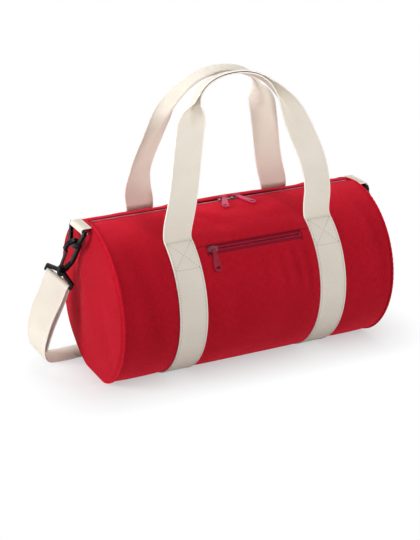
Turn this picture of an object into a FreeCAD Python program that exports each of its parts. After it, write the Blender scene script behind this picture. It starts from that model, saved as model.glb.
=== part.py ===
import FreeCAD
import Part
import math
import os
from FreeCAD import Matrix, Placement, Rotation, Vector

# A barrel bag. X runs along the bag, -Y is the pocket side and Z is up.
# Lengths are in millimetres and angles in degrees. Angles round the barrel are
# counted from the top towards the pocket side.

# Barrel cloth
BAG_LENGTH = 400.0
BAG_RADIUS = 110.0
CLOTH = 1.2
FLOOR_HALF_WIDTH = 26.0
FLOOR_BLEND = 30.0
END_DOME = 8.0
WELT_RADIUS = 1.8
WELT_SIDES = 8
BINDING_WIDTH = 10.0
BINDING_THICKNESS = 1.6

# Webbing
WEBBING_WIDTH = 40.0
WEBBING = 2.0
BAND_SPACING = 208.0

# Handles: each leaves the band at its own angle and leans over the bag until the tops meet.
# The grip is the same webbing folded in half along its length.
HANDLE_ANGLE = 34.5
HANDLE_REACH = 204.0
HANDLE_TOP_GAP = 2.0
GRIP_GAP = 1.0
# Along, up and fold shares of half the band spacing, the reach and a quarter turn
HANDLE_SHARES = (
    (-1.00, 0.00, 0.00),
    (-0.99, 0.05, 0.00),
    (-0.94, 0.13, 0.00),
    (-0.87, 0.235, 0.00),
    (-0.775, 0.42, 0.00),
    (-0.705, 0.57, 0.00),
    (-0.645, 0.69, 0.03),
    (-0.60, 0.765, 0.40),
    (-0.555, 0.83, 0.88),
    (-0.50, 0.885, 1.00),
    (-0.42, 0.93, 1.00),
    (-0.31, 0.965, 1.00),
    (-0.13, 0.993, 1.00),
    (0.05, 1.00, 1.00),
    (0.20, 0.993, 1.00),
    (0.37, 0.963, 1.00),
    (0.505, 0.913, 0.96),
    (0.65, 0.825, 0.74),
    (0.79, 0.69, 0.32),
    (0.91, 0.545, 0.05),
    (1.01, 0.395, 0.00),
    (1.05, 0.27, 0.00),
    (1.04, 0.15, 0.00),
    (1.00, 0.05, 0.00),
    (1.00, 0.00, 0.00),
)

# Zips. The pocket zip is the main zip made smaller.
ZIP_ANGLE = -5.0
POCKET_ZIP_ANGLE = 46.2
POCKET_ZIP_SHARE = 0.76
TAPE = 0.6
TAPE_HALF_WIDTH = 15.0
TOOTH_HEIGHT = 2.4
TOOTH_PITCH = 3.6
TOOTH_LENGTH = 1.7
TOOTH_SHARE = 0.5
COIL_SPINE = 1.1
COIL_GAP = 1.2
ZIP_END_MARGIN = 4.0
STOP_LENGTH = 3.0
SLIDER_LENGTH = 15.0
SLIDER_WIDTH = 11.4
SLIDER_PLATE = 1.1
SLIDER_FLANGE = 1.0
SLIDER_POST = 0.8
SLIDER_TAIL_SHARE = 0.72
SLIDER_WAIST_SHARE = 0.25
POST_SHARE = 0.55
WINDOW_MARGIN = 0.8
BAIL_LENGTH = 9.6
BAIL_END = 1.3
BAIL_WIDTH = 2.6
BAIL_RADIUS = 0.95
BAIL_HEIGHT = 2.3
MAIN_SLIDER_PLACES = (-1.0, 18.0)
MAIN_SKEWS = (-19.0, 19.0)
MAIN_PULLER_ANGLE = 9.0

# Pullers
PULLER_LENGTH = 32.0
PULLER_NECK = 6.4
PULLER_TIP = 10.4
PULLER_THICKNESS = 1.7
PULLER_ROLL = 0.9
PULLER_SLOT_LENGTH = 7.0
PULLER_SLOT_WIDTH = 3.6
PULLER_SLOT_MARGIN = 3.2
POCKET_SKEW = -4.0
POCKET_PULLER_ANGLE = 6.5

# Pocket on the front between the bands. Its zip starts and ends short of its sides.
POCKET_TOP_ANGLE = 41.4
POCKET_BOTTOM_ANGLE = 148.0
POCKET_ZIP_START_INSET = 12.7
POCKET_ZIP_END_INSET = 15.7
POCKET_SLIDER_INSET = 9.0

# Ring tabs and rings
FITTING_EDGE = 0.8
TAB_RISE = 6.0
TAB_REACH = 9.5
RING_BAR_RADIUS = 2.3
RING_INSIDE = 40.0
RING_LEG = 5.2
RING_THICKNESS = 4.2
RING_DEPTH = 28.0
RING_BOW = 5.0
RING_BOW_WIDTH = 18.0
RING_BOW_RISE = 2.5
RING_TILT = 20.0

# Snap hooks, each hanging on its ring
HOOK_LEAN_OUT = 13.0
HOOK_LEAN_BACK = 25.0
HOOK_REACH = 44.0
HOOK_THICKNESS = 6.6
HOOK_INSIDE_RADIUS = 7.2
HOOK_SPINE = 4.6
HOOK_BASE_HALF = 6.4
HOOK_BASE_HEIGHT = 6.5
HOOK_SHOULDER = 15.0
HOOK_BEAK = 5.5
HOOK_NOSE = 4.0
BIGHT_DROP = 0.85
GATE_THICKNESS = 1.7
GATE_WIDTH = 4.6
GATE_INSET = 4.6
GATE_BEAK_OVERLAP = 2.2
STEM_RADIUS = 3.0
STEM_HEAD_RADIUS = 4.4
STEM_HEAD = 1.8
COLLAR_RADIUS = 5.2
COLLAR_LENGTH = 5.6
EYE_TURN = 30.0
EYE_INSIDE = 40.0
EYE_ARM = 4.0
EYE_THICKNESS = 5.0
EYE_BAR_RADIUS = 2.2
EYE_BAR_DROP = 16.0
EYE_SHOULDER_SHARE = 0.45

# Shoulder strap
STRAP_RUN_BACK = 75.0
STRAP_RUN_HALF = 204.0
STRAP_BULGE = 25.0
# Fall, back, out and turn shares of the way from the eye bar to the floor run
STRAP_FALL_SHARES = (
    (0.16, 0.12, 0.36, 0.00),
    (0.36, 0.30, 0.74, 0.05),
    (0.60, 0.53, 1.00, 0.25),
    (0.82, 0.76, 0.97, 0.55),
    (0.95, 0.90, 0.62, 0.85),
    (1.00, 1.00, -0.04, 1.00),
)
FALL_STEPS = 14
FOLD_POINTS = 5
LAYER_SPREAD = 9.0
LAYER_SHARES = (0.0, 0.8, 1.0, 0.6, 0.08, 0.0, 0.0, 0.0)
ADJUSTER_PLACE = -30.0
ADJUSTER_LENGTH = 26.0
ADJUSTER_RAIL = 4.0
ADJUSTER_BAR = 4.5
ADJUSTER_THICKNESS = 2.2
STRAP_END_PLACE = -20.0

# Clearances: between pieces that lie together, and between pieces that run
SEAT = 0.3
RUN = 0.2
OVERRUN = 20.0

HALF_LENGTH = BAG_LENGTH / 2
HALF_BAND = BAND_SPACING / 2
HALF_WEBBING = WEBBING_WIDTH / 2
BLEND_LEAN = math.degrees(math.asin(FLOOR_HALF_WIDTH / (BAG_RADIUS - FLOOR_BLEND)))
BLEND_HEIGHT = WEBBING + FLOOR_BLEND
AXIS_HEIGHT = BLEND_HEIGHT + (BAG_RADIUS - FLOOR_BLEND) * math.cos(math.radians(BLEND_LEAN))
CHAIN_HALF = COIL_GAP / 2 + TOOTH_LENGTH + COIL_SPINE
CHAIN_ROOM = TOOTH_HEIGHT / 2 + RUN
SLIDER_HALF_HEIGHT = CHAIN_ROOM + SLIDER_PLATE
BAIL_AXIS = SLIDER_HALF_HEIGHT + BAIL_HEIGHT
MAIN_ZIP_OFFSET = -CLOTH - SEAT - TAPE / 2
POCKET_ZIP_OFFSET = (SLIDER_HALF_HEIGHT + SEAT) * POCKET_ZIP_SHARE + SEAT
POCKET_INSIDE = POCKET_ZIP_OFFSET + TAPE * POCKET_ZIP_SHARE / 2 + SEAT
POCKET_HALF_WIDTH = HALF_BAND - HALF_WEBBING - SEAT
POCKET_ZIP_START = POCKET_ZIP_START_INSET - POCKET_HALF_WIDTH
POCKET_ZIP_END = POCKET_HALF_WIDTH - POCKET_ZIP_END_INSET
POCKET_SLIDER_PLACE = POCKET_ZIP_START + POCKET_SLIDER_INSET
ZIP_HALF_OPENING = SLIDER_WIDTH / 2 + WINDOW_MARGIN
END_RIM = HALF_LENGTH + WELT_RADIUS + CLOTH
RUN_HEIGHT = ADJUSTER_THICKNESS + SEAT

ALONG = Vector(1, 0, 0)
BACK = Vector(0, 1, 0)
UP = Vector(0, 0, 1)
ORIGIN = Vector(0, 0, 0)


def sine(angle):
    return math.sin(math.radians(angle))


def cosine(angle):
    return math.cos(math.radians(angle))


def outline(offset, x):
    """Barrel outline grown by offset, across the bag at x: round above a flat floor."""
    blend = FLOOR_BLEND + offset

    def corner(side, angle):
        y = side * (FLOOR_HALF_WIDTH + blend * sine(angle))
        return Vector(x, y, BLEND_HEIGHT - blend * cosine(angle))

    top = Vector(x, 0, AXIS_HEIGHT + BAG_RADIUS + offset)
    edges = [
        Part.LineSegment(corner(-1, 0), corner(1, 0)),
        Part.Arc(corner(1, 0), corner(1, BLEND_LEAN / 2), corner(1, BLEND_LEAN)),
        Part.Arc(corner(1, BLEND_LEAN), top, corner(-1, BLEND_LEAN)),
        Part.Arc(corner(-1, BLEND_LEAN), corner(-1, BLEND_LEAN / 2), corner(-1, 0)),
    ]
    return Part.Wire([edge.toShape() for edge in edges])


def prism(offset, start, end):
    return Part.Face(outline(offset, start)).extrude(ALONG * (end - start))


def layer(inner, outer, start, end):
    """Cloth or webbing laid round the barrel between two offsets."""
    ring = Part.Face(outline(outer, start)).cut(Part.Face(outline(inner, start)))
    return ring.extrude(ALONG * (end - start))


def round_point(angle, radius, x=0):
    return Vector(x, -radius * sine(angle), AXIS_HEIGHT + radius * cosine(angle))


def sector(first, last, start, end):
    """Wedge about the barrel axis between two angles less than 180 degrees apart."""
    far = 2 * (BAG_RADIUS + OVERRUN)
    points = [Vector(start, 0, AXIS_HEIGHT)]
    for angle in (first, (first + last) / 2, last):
        points.append(round_point(angle, far, start))
    return Part.Face(Part.makePolygon(points + points[:1])).extrude(ALONG * (end - start))


def box(x0, x1, y0, y1, z0, z1):
    return Part.makeBox(x1 - x0, y1 - y0, z1 - z0, Vector(x0, y0, z0))


def placed(shape, placement):
    shape = shape.copy()
    shape.Placement = placement.multiply(shape.Placement)
    return shape


def mirrored(shape):
    return shape.mirror(ORIGIN, ALONG)


def round_placement(angle, offset, x=0):
    """Frame on the barrel: x along the bag, z straight out of the cloth."""
    return Placement(round_point(angle, BAG_RADIUS + offset, x), Rotation(ALONG, angle))


def frame_placement(base, across, up):
    side = up.cross(across)
    columns = (across, side, up)
    rows = []
    for name in ("x", "y", "z"):
        rows += [getattr(column, name) for column in columns] + [getattr(base, name)]
    return Placement(Matrix(*(rows + [0, 0, 0, 1])))


def wire_of(*pieces):
    """Closed wire from points, and from pairs of points that an arc passes through."""
    edges = []
    here = pieces[0]
    for piece in pieces[1:]:
        if isinstance(piece, tuple):
            edges.append(Part.Arc(here, piece[0], piece[1]).toShape())
            here = piece[1]
        else:
            edges.append(Part.LineSegment(here, piece).toShape())
            here = piece
    if here.distanceToPoint(pieces[0]) > 0:
        edges.append(Part.LineSegment(here, pieces[0]).toShape())
    return Part.Wire(edges)


def eased(plate, normal):
    """Moulded plate with the sharp edges taken off its two faces."""
    edges = []
    for face in plate.Faces:
        if abs(face.normalAt(0, 0).dot(normal)) > cosine(1):
            edges += face.Edges
    return plate.makeChamfer(FITTING_EDGE, edges)


def ribbon(sections, ruled):
    """Webbing lofted through sections of centre, width direction and face direction."""
    wires = []
    for centre, across, face in sections:
        half_width = across * HALF_WEBBING
        half_depth = face * (WEBBING / 2)
        corners = [
            centre - half_width - half_depth,
            centre + half_width - half_depth,
            centre + half_width + half_depth,
            centre - half_width + half_depth,
        ]
        wires.append(Part.makePolygon(corners + corners[:1]))
    return Part.makeLoft(wires, True, ruled)


# Barrel cloth
slot = placed(
    box(
        -HALF_LENGTH - OVERRUN, HALF_LENGTH + OVERRUN,
        -ZIP_HALF_OPENING, ZIP_HALF_OPENING, -OVERRUN, OVERRUN,
    ),
    round_placement(ZIP_ANGLE, 0),
)
barrel_end = HALF_LENGTH - WELT_RADIUS
barrel_panel = layer(-CLOTH, 0, -barrel_end, barrel_end).cut(slot)


def end_ball(depth):
    radius = (BAG_RADIUS ** 2 + END_DOME ** 2) / (2 * END_DOME)
    centre = Vector(END_RIM + END_DOME - radius, 0, AXIS_HEIGHT)
    return Part.makeSphere(radius - depth, centre)


end_space = prism(0, HALF_LENGTH - CLOTH, END_RIM + END_DOME + OVERRUN)
right_end_panel = end_space.common(end_ball(0)).cut(end_ball(CLOTH))

welt_path = outline(-CLOTH / 2, HALF_LENGTH)
welt_start = Vector(HALF_LENGTH, -FLOOR_HALF_WIDTH, WEBBING + CLOTH / 2)
welt_corners = []
for index in range(WELT_SIDES):
    turn = 360 * index / WELT_SIDES
    welt_corners.append(welt_start + (ALONG * cosine(turn) + UP * sine(turn)) * WELT_RADIUS)
welt_section = Part.makePolygon(welt_corners + welt_corners[:1])
right_end_welt = welt_path.makePipeShell([welt_section], True, True)

binding_end = HALF_LENGTH - WELT_RADIUS
binding_gap = placed(
    box(
        0, HALF_LENGTH + OVERRUN, -TAPE_HALF_WIDTH - SEAT, TAPE_HALF_WIDTH + SEAT,
        -OVERRUN, OVERRUN,
    ),
    round_placement(ZIP_ANGLE, 0),
)
right_seam_binding = layer(
    -CLOTH - BINDING_THICKNESS, -CLOTH, binding_end - BINDING_WIDTH, binding_end
).cut(binding_gap)


# Zips, made in a frame with x along the chain and z out of the cloth
def zip_coil(length, share, side):
    """One side of the chain: a spine with teeth towards the middle."""
    pitch = TOOTH_PITCH * share
    count = int(length / pitch)
    back = side * CHAIN_HALF * share
    root = side * (COIL_GAP / 2 + TOOTH_LENGTH) * share
    tip = side * COIL_GAP / 2 * share
    shift = pitch / 4 * side
    start = -count * pitch / 2
    bottom = -TOOTH_HEIGHT * share / 2
    points = [Vector(start - pitch / 2, back, bottom), Vector(start - pitch / 2, root, bottom)]
    for index in range(count):
        tooth = start + (index + TOOTH_SHARE) * pitch + shift
        half_tooth = pitch * TOOTH_SHARE / 2
        points.append(Vector(tooth - half_tooth, root, bottom))
        points.append(Vector(tooth - half_tooth, tip, bottom))
        points.append(Vector(tooth + half_tooth, tip, bottom))
        points.append(Vector(tooth + half_tooth, root, bottom))
    points.append(Vector(-start + pitch / 2, root, bottom))
    points.append(Vector(-start + pitch / 2, back, bottom))
    face = Part.Face(Part.makePolygon(points + points[:1]))
    return face.extrude(UP * TOOTH_HEIGHT * share)


def zip_tape(start, end, share, side, angle, offset):
    """Tape that follows the barrel from the back of one coil outwards."""
    edges = sorted((side * CHAIN_HALF * share, side * TAPE_HALF_WIDTH * share))
    strip = box(start, end, edges[0], edges[1], -OVERRUN, OVERRUN)
    half = TAPE * share / 2
    sheet = layer(offset - half, offset + half, start, end)
    return sheet.common(placed(strip, round_placement(angle, offset)))


def zip_slider(share):
    """Slider round the closed chain, with a bar on two posts for the puller."""
    nose = SLIDER_LENGTH * share / 2
    wide = SLIDER_WIDTH * share / 2
    tail = wide * SLIDER_TAIL_SHARE
    waist = nose * SLIDER_WAIST_SHARE
    plate = SLIDER_PLATE * share
    room = CHAIN_ROOM * share
    flange = SLIDER_FLANGE * share
    rim = wire_of(
        Vector(-nose, -tail, 0),
        Vector(-waist, -wide, 0),
        Vector(waist, -wide, 0),
        Vector(nose, -tail, 0),
        (Vector(nose + flange, 0, 0), Vector(nose, tail, 0)),
        Vector(waist, wide, 0),
        Vector(-waist, wide, 0),
        Vector(-nose, tail, 0),
        (Vector(-nose - flange, 0, 0), Vector(-nose, -tail, 0)),
    )
    leaf = Part.Face(rim).extrude(UP * plate)
    upper = leaf.translated(UP * room)
    lower = leaf.translated(-UP * (room + plate))
    half_post = SLIDER_POST * share / 2
    post = box(-nose * POST_SHARE, nose * POST_SHARE, -half_post, half_post, -room, room)
    body = upper.fuse(lower).fuse(post)
    gap = (TAPE / 2 + RUN) * share
    for side in (-1, 1):
        edges = sorted((side * wide, side * (wide - flange)))
        for level in ((gap, room), (-room, -gap)):
            body = body.fuse(box(-waist, waist, edges[0], edges[1], level[0], level[1]))
    top = room + plate
    half_bail = BAIL_LENGTH * share / 2
    end = BAIL_END * share
    axis = BAIL_AXIS * share
    half_width = BAIL_WIDTH * share / 2
    for x in (-half_bail, half_bail - end):
        foot = wire_of(
            Vector(x, -half_width, top),
            Vector(x, half_width, top),
            Vector(x, half_width, axis),
            (Vector(x, 0, axis + half_width), Vector(x, -half_width, axis)),
        )
        body = body.fuse(Part.Face(foot).extrude(ALONG * end))
    bar = Part.makeCylinder(
        BAIL_RADIUS * share, 2 * half_bail - 2 * end, Vector(end - half_bail, 0, axis), ALONG
    )
    return body.fuse(bar).removeSplitter()


def zip_puller(share, skew):
    """Puller with its neck rolled round the bail bar, lying towards -y, tip slotted."""
    inside = (BAIL_RADIUS + RUN) * share
    outside = inside + PULLER_ROLL * share
    neck = PULLER_NECK / 2 * share
    tip = PULLER_TIP / 2
    end = -PULLER_LENGTH
    lean = end * math.tan(math.radians(-skew))
    half_depth = PULLER_THICKNESS / 2
    rim = wire_of(
        Vector(-neck, -inside, -half_depth),
        Vector(lean - tip, end + tip, -half_depth),
        (Vector(lean, end, -half_depth), Vector(lean + tip, end + tip, -half_depth)),
        Vector(neck, -inside, -half_depth),
    )
    blade = Part.Face(rim).extrude(UP * PULLER_THICKNESS)
    slot_half = PULLER_SLOT_LENGTH / 2
    slot_end = PULLER_SLOT_WIDTH / 2
    low = end + PULLER_SLOT_MARGIN
    high = low + PULLER_SLOT_WIDTH
    hole = wire_of(
        Vector(lean - slot_half + slot_end, low, -half_depth),
        Vector(lean + slot_half - slot_end, low, -half_depth),
        (
            Vector(lean + slot_half, low + slot_end, -half_depth),
            Vector(lean + slot_half - slot_end, high, -half_depth),
        ),
        Vector(lean - slot_half + slot_end, high, -half_depth),
        (
            Vector(lean - slot_half, low + slot_end, -half_depth),
            Vector(lean - slot_half + slot_end, low, -half_depth),
        ),
    )
    blade = blade.cut(Part.Face(hole).extrude(UP * PULLER_THICKNESS))
    roll = Part.makeCylinder(outside, 2 * neck, Vector(-neck, 0, 0), ALONG)
    bore = Part.makeCylinder(inside, 2 * neck, Vector(-neck, 0, 0), ALONG)
    return roll.fuse(blade).cut(bore).removeSplitter()


zip_length = 2 * (HALF_LENGTH - ZIP_END_MARGIN)
main_frame = round_placement(ZIP_ANGLE, MAIN_ZIP_OFFSET)
front_zip_coil = placed(zip_coil(zip_length - TOOTH_PITCH, 1, -1), main_frame)
rear_zip_coil = placed(zip_coil(zip_length - TOOTH_PITCH, 1, 1), main_frame)
half_zip = zip_length / 2
front_zip_tape = zip_tape(-half_zip, half_zip, 1, -1, ZIP_ANGLE, MAIN_ZIP_OFFSET)
rear_zip_tape = zip_tape(-half_zip, half_zip, 1, 1, ZIP_ANGLE, MAIN_ZIP_OFFSET)


def slider_frame(place, angle, offset):
    return round_placement(angle, offset, place)


def puller_frame(place, angle, offset, share, turn):
    """Puller frame on the bail bar, turned down on to the cloth."""
    on_bar = Placement(UP * BAIL_AXIS * share, Rotation(ALONG, turn))
    return round_placement(angle, offset, place).multiply(on_bar)


main_sliders = []
main_pullers = []
for place, skew in zip(MAIN_SLIDER_PLACES, MAIN_SKEWS):
    main_sliders.append(placed(zip_slider(1), slider_frame(place, ZIP_ANGLE, MAIN_ZIP_OFFSET)))
    frame = puller_frame(place, ZIP_ANGLE, MAIN_ZIP_OFFSET, 1, MAIN_PULLER_ANGLE)
    main_pullers.append(placed(zip_puller(1, skew), frame))

# Pocket: a shallow panel on the barrel with a window for its zip
pocket_outside = POCKET_INSIDE + CLOTH
wall_angle = math.degrees(CLOTH / BAG_RADIUS)
pocket_block = layer(0, pocket_outside, -POCKET_HALF_WIDTH, POCKET_HALF_WIDTH).common(
    sector(POCKET_TOP_ANGLE, POCKET_BOTTOM_ANGLE, -POCKET_HALF_WIDTH, POCKET_HALF_WIDTH)
)
pocket_room_half = POCKET_HALF_WIDTH - CLOTH
pocket_room = layer(0, POCKET_INSIDE, -pocket_room_half, pocket_room_half).common(
    sector(
        POCKET_TOP_ANGLE + wall_angle, POCKET_BOTTOM_ANGLE - wall_angle,
        -pocket_room_half, pocket_room_half,
    )
)
window_half = ZIP_HALF_OPENING * POCKET_ZIP_SHARE
pocket_zip_length = POCKET_ZIP_END - POCKET_ZIP_START
pocket_zip_centre = (POCKET_ZIP_START + POCKET_ZIP_END) / 2
pocket_window = placed(
    box(POCKET_ZIP_START, POCKET_ZIP_END, -window_half, window_half, 0, OVERRUN),
    round_placement(POCKET_ZIP_ANGLE, POCKET_ZIP_OFFSET),
)
pocket_panel = pocket_block.cut(pocket_room).cut(pocket_window)

pocket_frame = round_placement(POCKET_ZIP_ANGLE, POCKET_ZIP_OFFSET)
pocket_coil_frame = round_placement(POCKET_ZIP_ANGLE, POCKET_ZIP_OFFSET, pocket_zip_centre)
stop_length = STOP_LENGTH * POCKET_ZIP_SHARE
pocket_coil_length = pocket_zip_length - 2 * (stop_length + SEAT) - TOOTH_PITCH * POCKET_ZIP_SHARE
upper_pocket_coil = placed(zip_coil(pocket_coil_length, POCKET_ZIP_SHARE, 1), pocket_coil_frame)
lower_pocket_coil = placed(zip_coil(pocket_coil_length, POCKET_ZIP_SHARE, -1), pocket_coil_frame)
tape_start = POCKET_ZIP_START - stop_length
tape_end = POCKET_ZIP_END + stop_length
upper_pocket_tape = zip_tape(
    tape_start, tape_end, POCKET_ZIP_SHARE, 1, POCKET_ZIP_ANGLE, POCKET_ZIP_OFFSET
).common(pocket_room)
lower_pocket_tape = zip_tape(
    tape_start, tape_end, POCKET_ZIP_SHARE, -1, POCKET_ZIP_ANGLE, POCKET_ZIP_OFFSET
)
chain_half = CHAIN_HALF * POCKET_ZIP_SHARE
tooth_half = TOOTH_HEIGHT * POCKET_ZIP_SHARE / 2


def pocket_stop(start):
    block = box(start, start + stop_length, -chain_half, chain_half, -tooth_half, tooth_half)
    return placed(block, pocket_frame)


pocket_left_stop = pocket_stop(POCKET_ZIP_START)
pocket_right_stop = pocket_stop(POCKET_ZIP_END - stop_length)
pocket_slider = placed(
    zip_slider(POCKET_ZIP_SHARE),
    slider_frame(POCKET_SLIDER_PLACE, POCKET_ZIP_ANGLE, POCKET_ZIP_OFFSET),
)
pocket_puller = placed(
    zip_puller(POCKET_ZIP_SHARE, POCKET_SKEW),
    puller_frame(
        POCKET_SLIDER_PLACE, POCKET_ZIP_ANGLE, POCKET_ZIP_OFFSET, POCKET_ZIP_SHARE,
        POCKET_PULLER_ANGLE,
    ),
)

# Bands: webbing round the barrel, stopping where the handle legs leave it
band_start = HALF_BAND - HALF_WEBBING
band_end = HALF_BAND + HALF_WEBBING
band_top_angle = HANDLE_ANGLE + math.degrees((WEBBING + SEAT) / BAG_RADIUS)
right_band = layer(0, WEBBING, band_start, band_end).cut(
    sector(-band_top_angle, band_top_angle, band_start, band_end)
)

# Handles: made upright with the fold line on the x axis and the front towards -y
grip_middle = WEBBING + GRIP_GAP / 2
grip_width = HALF_WEBBING - grip_middle


def grip_section(centre, across, face, fold):
    """Webbing section with both sides turned up about a narrow middle, set about the centre."""
    spine = centre - face * (grip_width * sine(fold) / 2 + WEBBING / 2)
    corners = []
    for side in (-1, 1):
        arm = across * (side * cosine(fold)) + face * sine(fold)
        inward = face * cosine(fold) - across * (side * sine(fold))
        outer = spine + across * (side * grip_middle)
        tip = outer + arm * grip_width
        corner = spine + face * WEBBING
        corner += across * (side * (grip_middle - WEBBING * math.tan(math.radians(fold / 2))))
        run = [outer, tip, tip + inward * WEBBING, corner]
        corners += run if side > 0 else run[::-1]
    return Part.makePolygon(corners + corners[:1])


handle_points = []
for along_share, up_share, fold_share in HANDLE_SHARES:
    point = Vector(along_share * HALF_BAND, WEBBING / 2, up_share * HANDLE_REACH)
    handle_points.append(point)
last = len(handle_points) - 1
handle_wires = []
for index, point in enumerate(handle_points):
    before = handle_points[max(index - 1, 0)]
    after = handle_points[min(index + 1, last)]
    tangent = (after - before).normalize()
    if index == 0:
        tangent = Vector(UP)
    if index == last:
        tangent = -UP
    across = tangent.cross(BACK)
    fold = 90 * HANDLE_SHARES[index][2]
    handle_wires.append(grip_section(point, across, -BACK, fold))
upright_handle = Part.makeLoft(handle_wires, True, False)
for side in (-1, 1):
    heel_start = Vector(side * HALF_BAND - HALF_WEBBING, 0, 0)
    heel = wire_of(
        heel_start,
        heel_start + BACK * WEBBING,
        (
            heel_start + (BACK - UP) * (WEBBING * math.sqrt(1 / 2)),
            heel_start - UP * WEBBING,
        ),
    )
    upright_handle = upright_handle.fuse(Part.Face(heel).extrude(ALONG * WEBBING_WIDTH))
fold_point = round_point(HANDLE_ANGLE, BAG_RADIUS + WEBBING + SEAT)
top_place = grip_width / 2 + WEBBING + HANDLE_TOP_GAP
handle_lean = math.degrees(math.asin((-fold_point.y - top_place) / HANDLE_REACH))
front_handle = placed(upright_handle, Placement(fold_point, Rotation(ALONG, -handle_lean)))
rear_handle = placed(front_handle, Placement(ORIGIN, Rotation(UP, 180)))

# Ring tab on the end panel, under the end welt, in line with the zip
tab_loop = RING_BAR_RADIUS + SEAT
tab_outside = tab_loop + WEBBING
ring_centre = round_point(ZIP_ANGLE, BAG_RADIUS - TAB_RISE, -END_RIM - TAB_REACH)
tab_side = BACK * HALF_WEBBING
tab_ring = Part.makeCylinder(tab_outside, WEBBING_WIDTH, ring_centre - tab_side, BACK)
tab_flat = box(
    ring_centre.x, -HALF_LENGTH, ring_centre.y - HALF_WEBBING, ring_centre.y + HALF_WEBBING,
    ring_centre.z - WEBBING, ring_centre.z + WEBBING,
)
tab_bore = Part.makeCylinder(tab_loop, WEBBING_WIDTH, ring_centre - tab_side, BACK)
tab_stop = mirrored(end_space.common(end_ball(0)))
tab_limit = box(
    ring_centre.x - tab_outside, -HALF_LENGTH - WELT_RADIUS - RUN,
    ring_centre.y - HALF_WEBBING, ring_centre.y + HALF_WEBBING, 0, 2 * BAG_RADIUS + OVERRUN,
)
left_ring_tab = tab_ring.fuse(tab_flat).cut(tab_bore).cut(tab_stop).common(tab_limit)
left_ring_tab = left_ring_tab.removeSplitter()

# Ring: made with its bar on the y axis and its bow towards -z
ring_half = RING_INSIDE / 2
ring_out = ring_half + RING_LEG
bow_half = RING_BOW_WIDTH / 2
bow_out = bow_half + RING_LEG
ring_straight = tab_outside + SEAT
bow_inside = RING_DEPTH - RING_BOW
half_ring = ALONG * (-RING_THICKNESS / 2)


def ring_point(across, down):
    return half_ring + BACK * across - UP * down


ring_rim = wire_of(
    ring_point(-ring_out, 0),
    ring_point(-ring_out, ring_straight),
    ring_point(-bow_out, RING_DEPTH - RING_BOW_RISE),
    (ring_point(0, RING_DEPTH), ring_point(bow_out, RING_DEPTH - RING_BOW_RISE)),
    ring_point(ring_out, ring_straight),
    ring_point(ring_out, 0),
)
ring_window = wire_of(
    ring_point(-ring_half, 0),
    ring_point(-ring_half, ring_straight),
    ring_point(-bow_half, bow_inside - RING_BOW_RISE),
    (ring_point(0, bow_inside), ring_point(bow_half, bow_inside - RING_BOW_RISE)),
    ring_point(ring_half, ring_straight),
    ring_point(ring_half, 0),
)
ring_plate = Part.Face(ring_rim).cut(Part.Face(ring_window)).extrude(ALONG * RING_THICKNESS)
ring_bar = Part.makeCylinder(RING_BAR_RADIUS, 2 * ring_out, BACK * -ring_out, BACK)
ring_turn = Rotation(BACK, RING_TILT)
left_ring = placed(ring_plate.fuse(ring_bar).removeSplitter(), Placement(ring_centre, ring_turn))

# Snap hook: x towards the bag, z up the stem to the bight
bow_drop = RING_DEPTH - RING_BOW / 2
bow_centre = ring_centre + ring_turn.multVec(-UP * bow_drop)
hook_up = Vector(
    sine(HOOK_LEAN_OUT), -sine(HOOK_LEAN_BACK), math.sqrt(
        1 - sine(HOOK_LEAN_OUT) ** 2 - sine(HOOK_LEAN_BACK) ** 2
    )
)
hook_in = (ALONG - hook_up * ALONG.dot(hook_up)).normalize()
hook_base = bow_centre - hook_up * (BIGHT_DROP + HOOK_REACH)
hook_frame = frame_placement(hook_base, hook_in, hook_up)
inside = HOOK_INSIDE_RADIUS
outside = HOOK_INSIDE_RADIUS + HOOK_SPINE
half_hook = BACK * (-HOOK_THICKNESS / 2)


def hook_point(across, up):
    return half_hook + ALONG * across + UP * up


hook_rim = wire_of(
    hook_point(-HOOK_BASE_HALF, 0),
    hook_point(HOOK_BASE_HALF, 0),
    hook_point(outside, HOOK_SHOULDER),
    hook_point(outside, HOOK_REACH),
    (hook_point(0, HOOK_REACH + outside), hook_point(-outside, HOOK_REACH)),
    hook_point(-outside, HOOK_REACH - HOOK_BEAK),
    hook_point(-inside - SEAT, HOOK_REACH - HOOK_BEAK - HOOK_NOSE),
    hook_point(-inside, HOOK_REACH - HOOK_BEAK),
    hook_point(-inside, HOOK_REACH),
    (hook_point(0, HOOK_REACH + inside), hook_point(inside, HOOK_REACH)),
    hook_point(inside, HOOK_SHOULDER),
    hook_point(HOOK_BASE_HALF - HOOK_SPINE, HOOK_BASE_HEIGHT),
    hook_point(-HOOK_BASE_HALF, HOOK_BASE_HEIGHT),
)
hook_plate = eased(Part.Face(hook_rim).extrude(BACK * HOOK_THICKNESS), BACK)
stem_length = COLLAR_LENGTH + 2 * RUN
stem = Part.makeCylinder(STEM_RADIUS, stem_length, -UP * stem_length, UP)
stem_head = Part.makeCylinder(
    STEM_HEAD_RADIUS, STEM_HEAD, -UP * (stem_length + STEM_HEAD), UP
)
gate_axis = Vector(-GATE_INSET, 0, HOOK_BASE_HEIGHT)
gate_seat = Part.makeCylinder(
    GATE_THICKNESS / 2 + RUN, HOOK_THICKNESS, gate_axis + half_hook, BACK
)
hook_shape = hook_plate.fuse(stem).fuse(stem_head).removeSplitter().cut(gate_seat)
left_snap_hook = placed(hook_shape, hook_frame)

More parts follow.
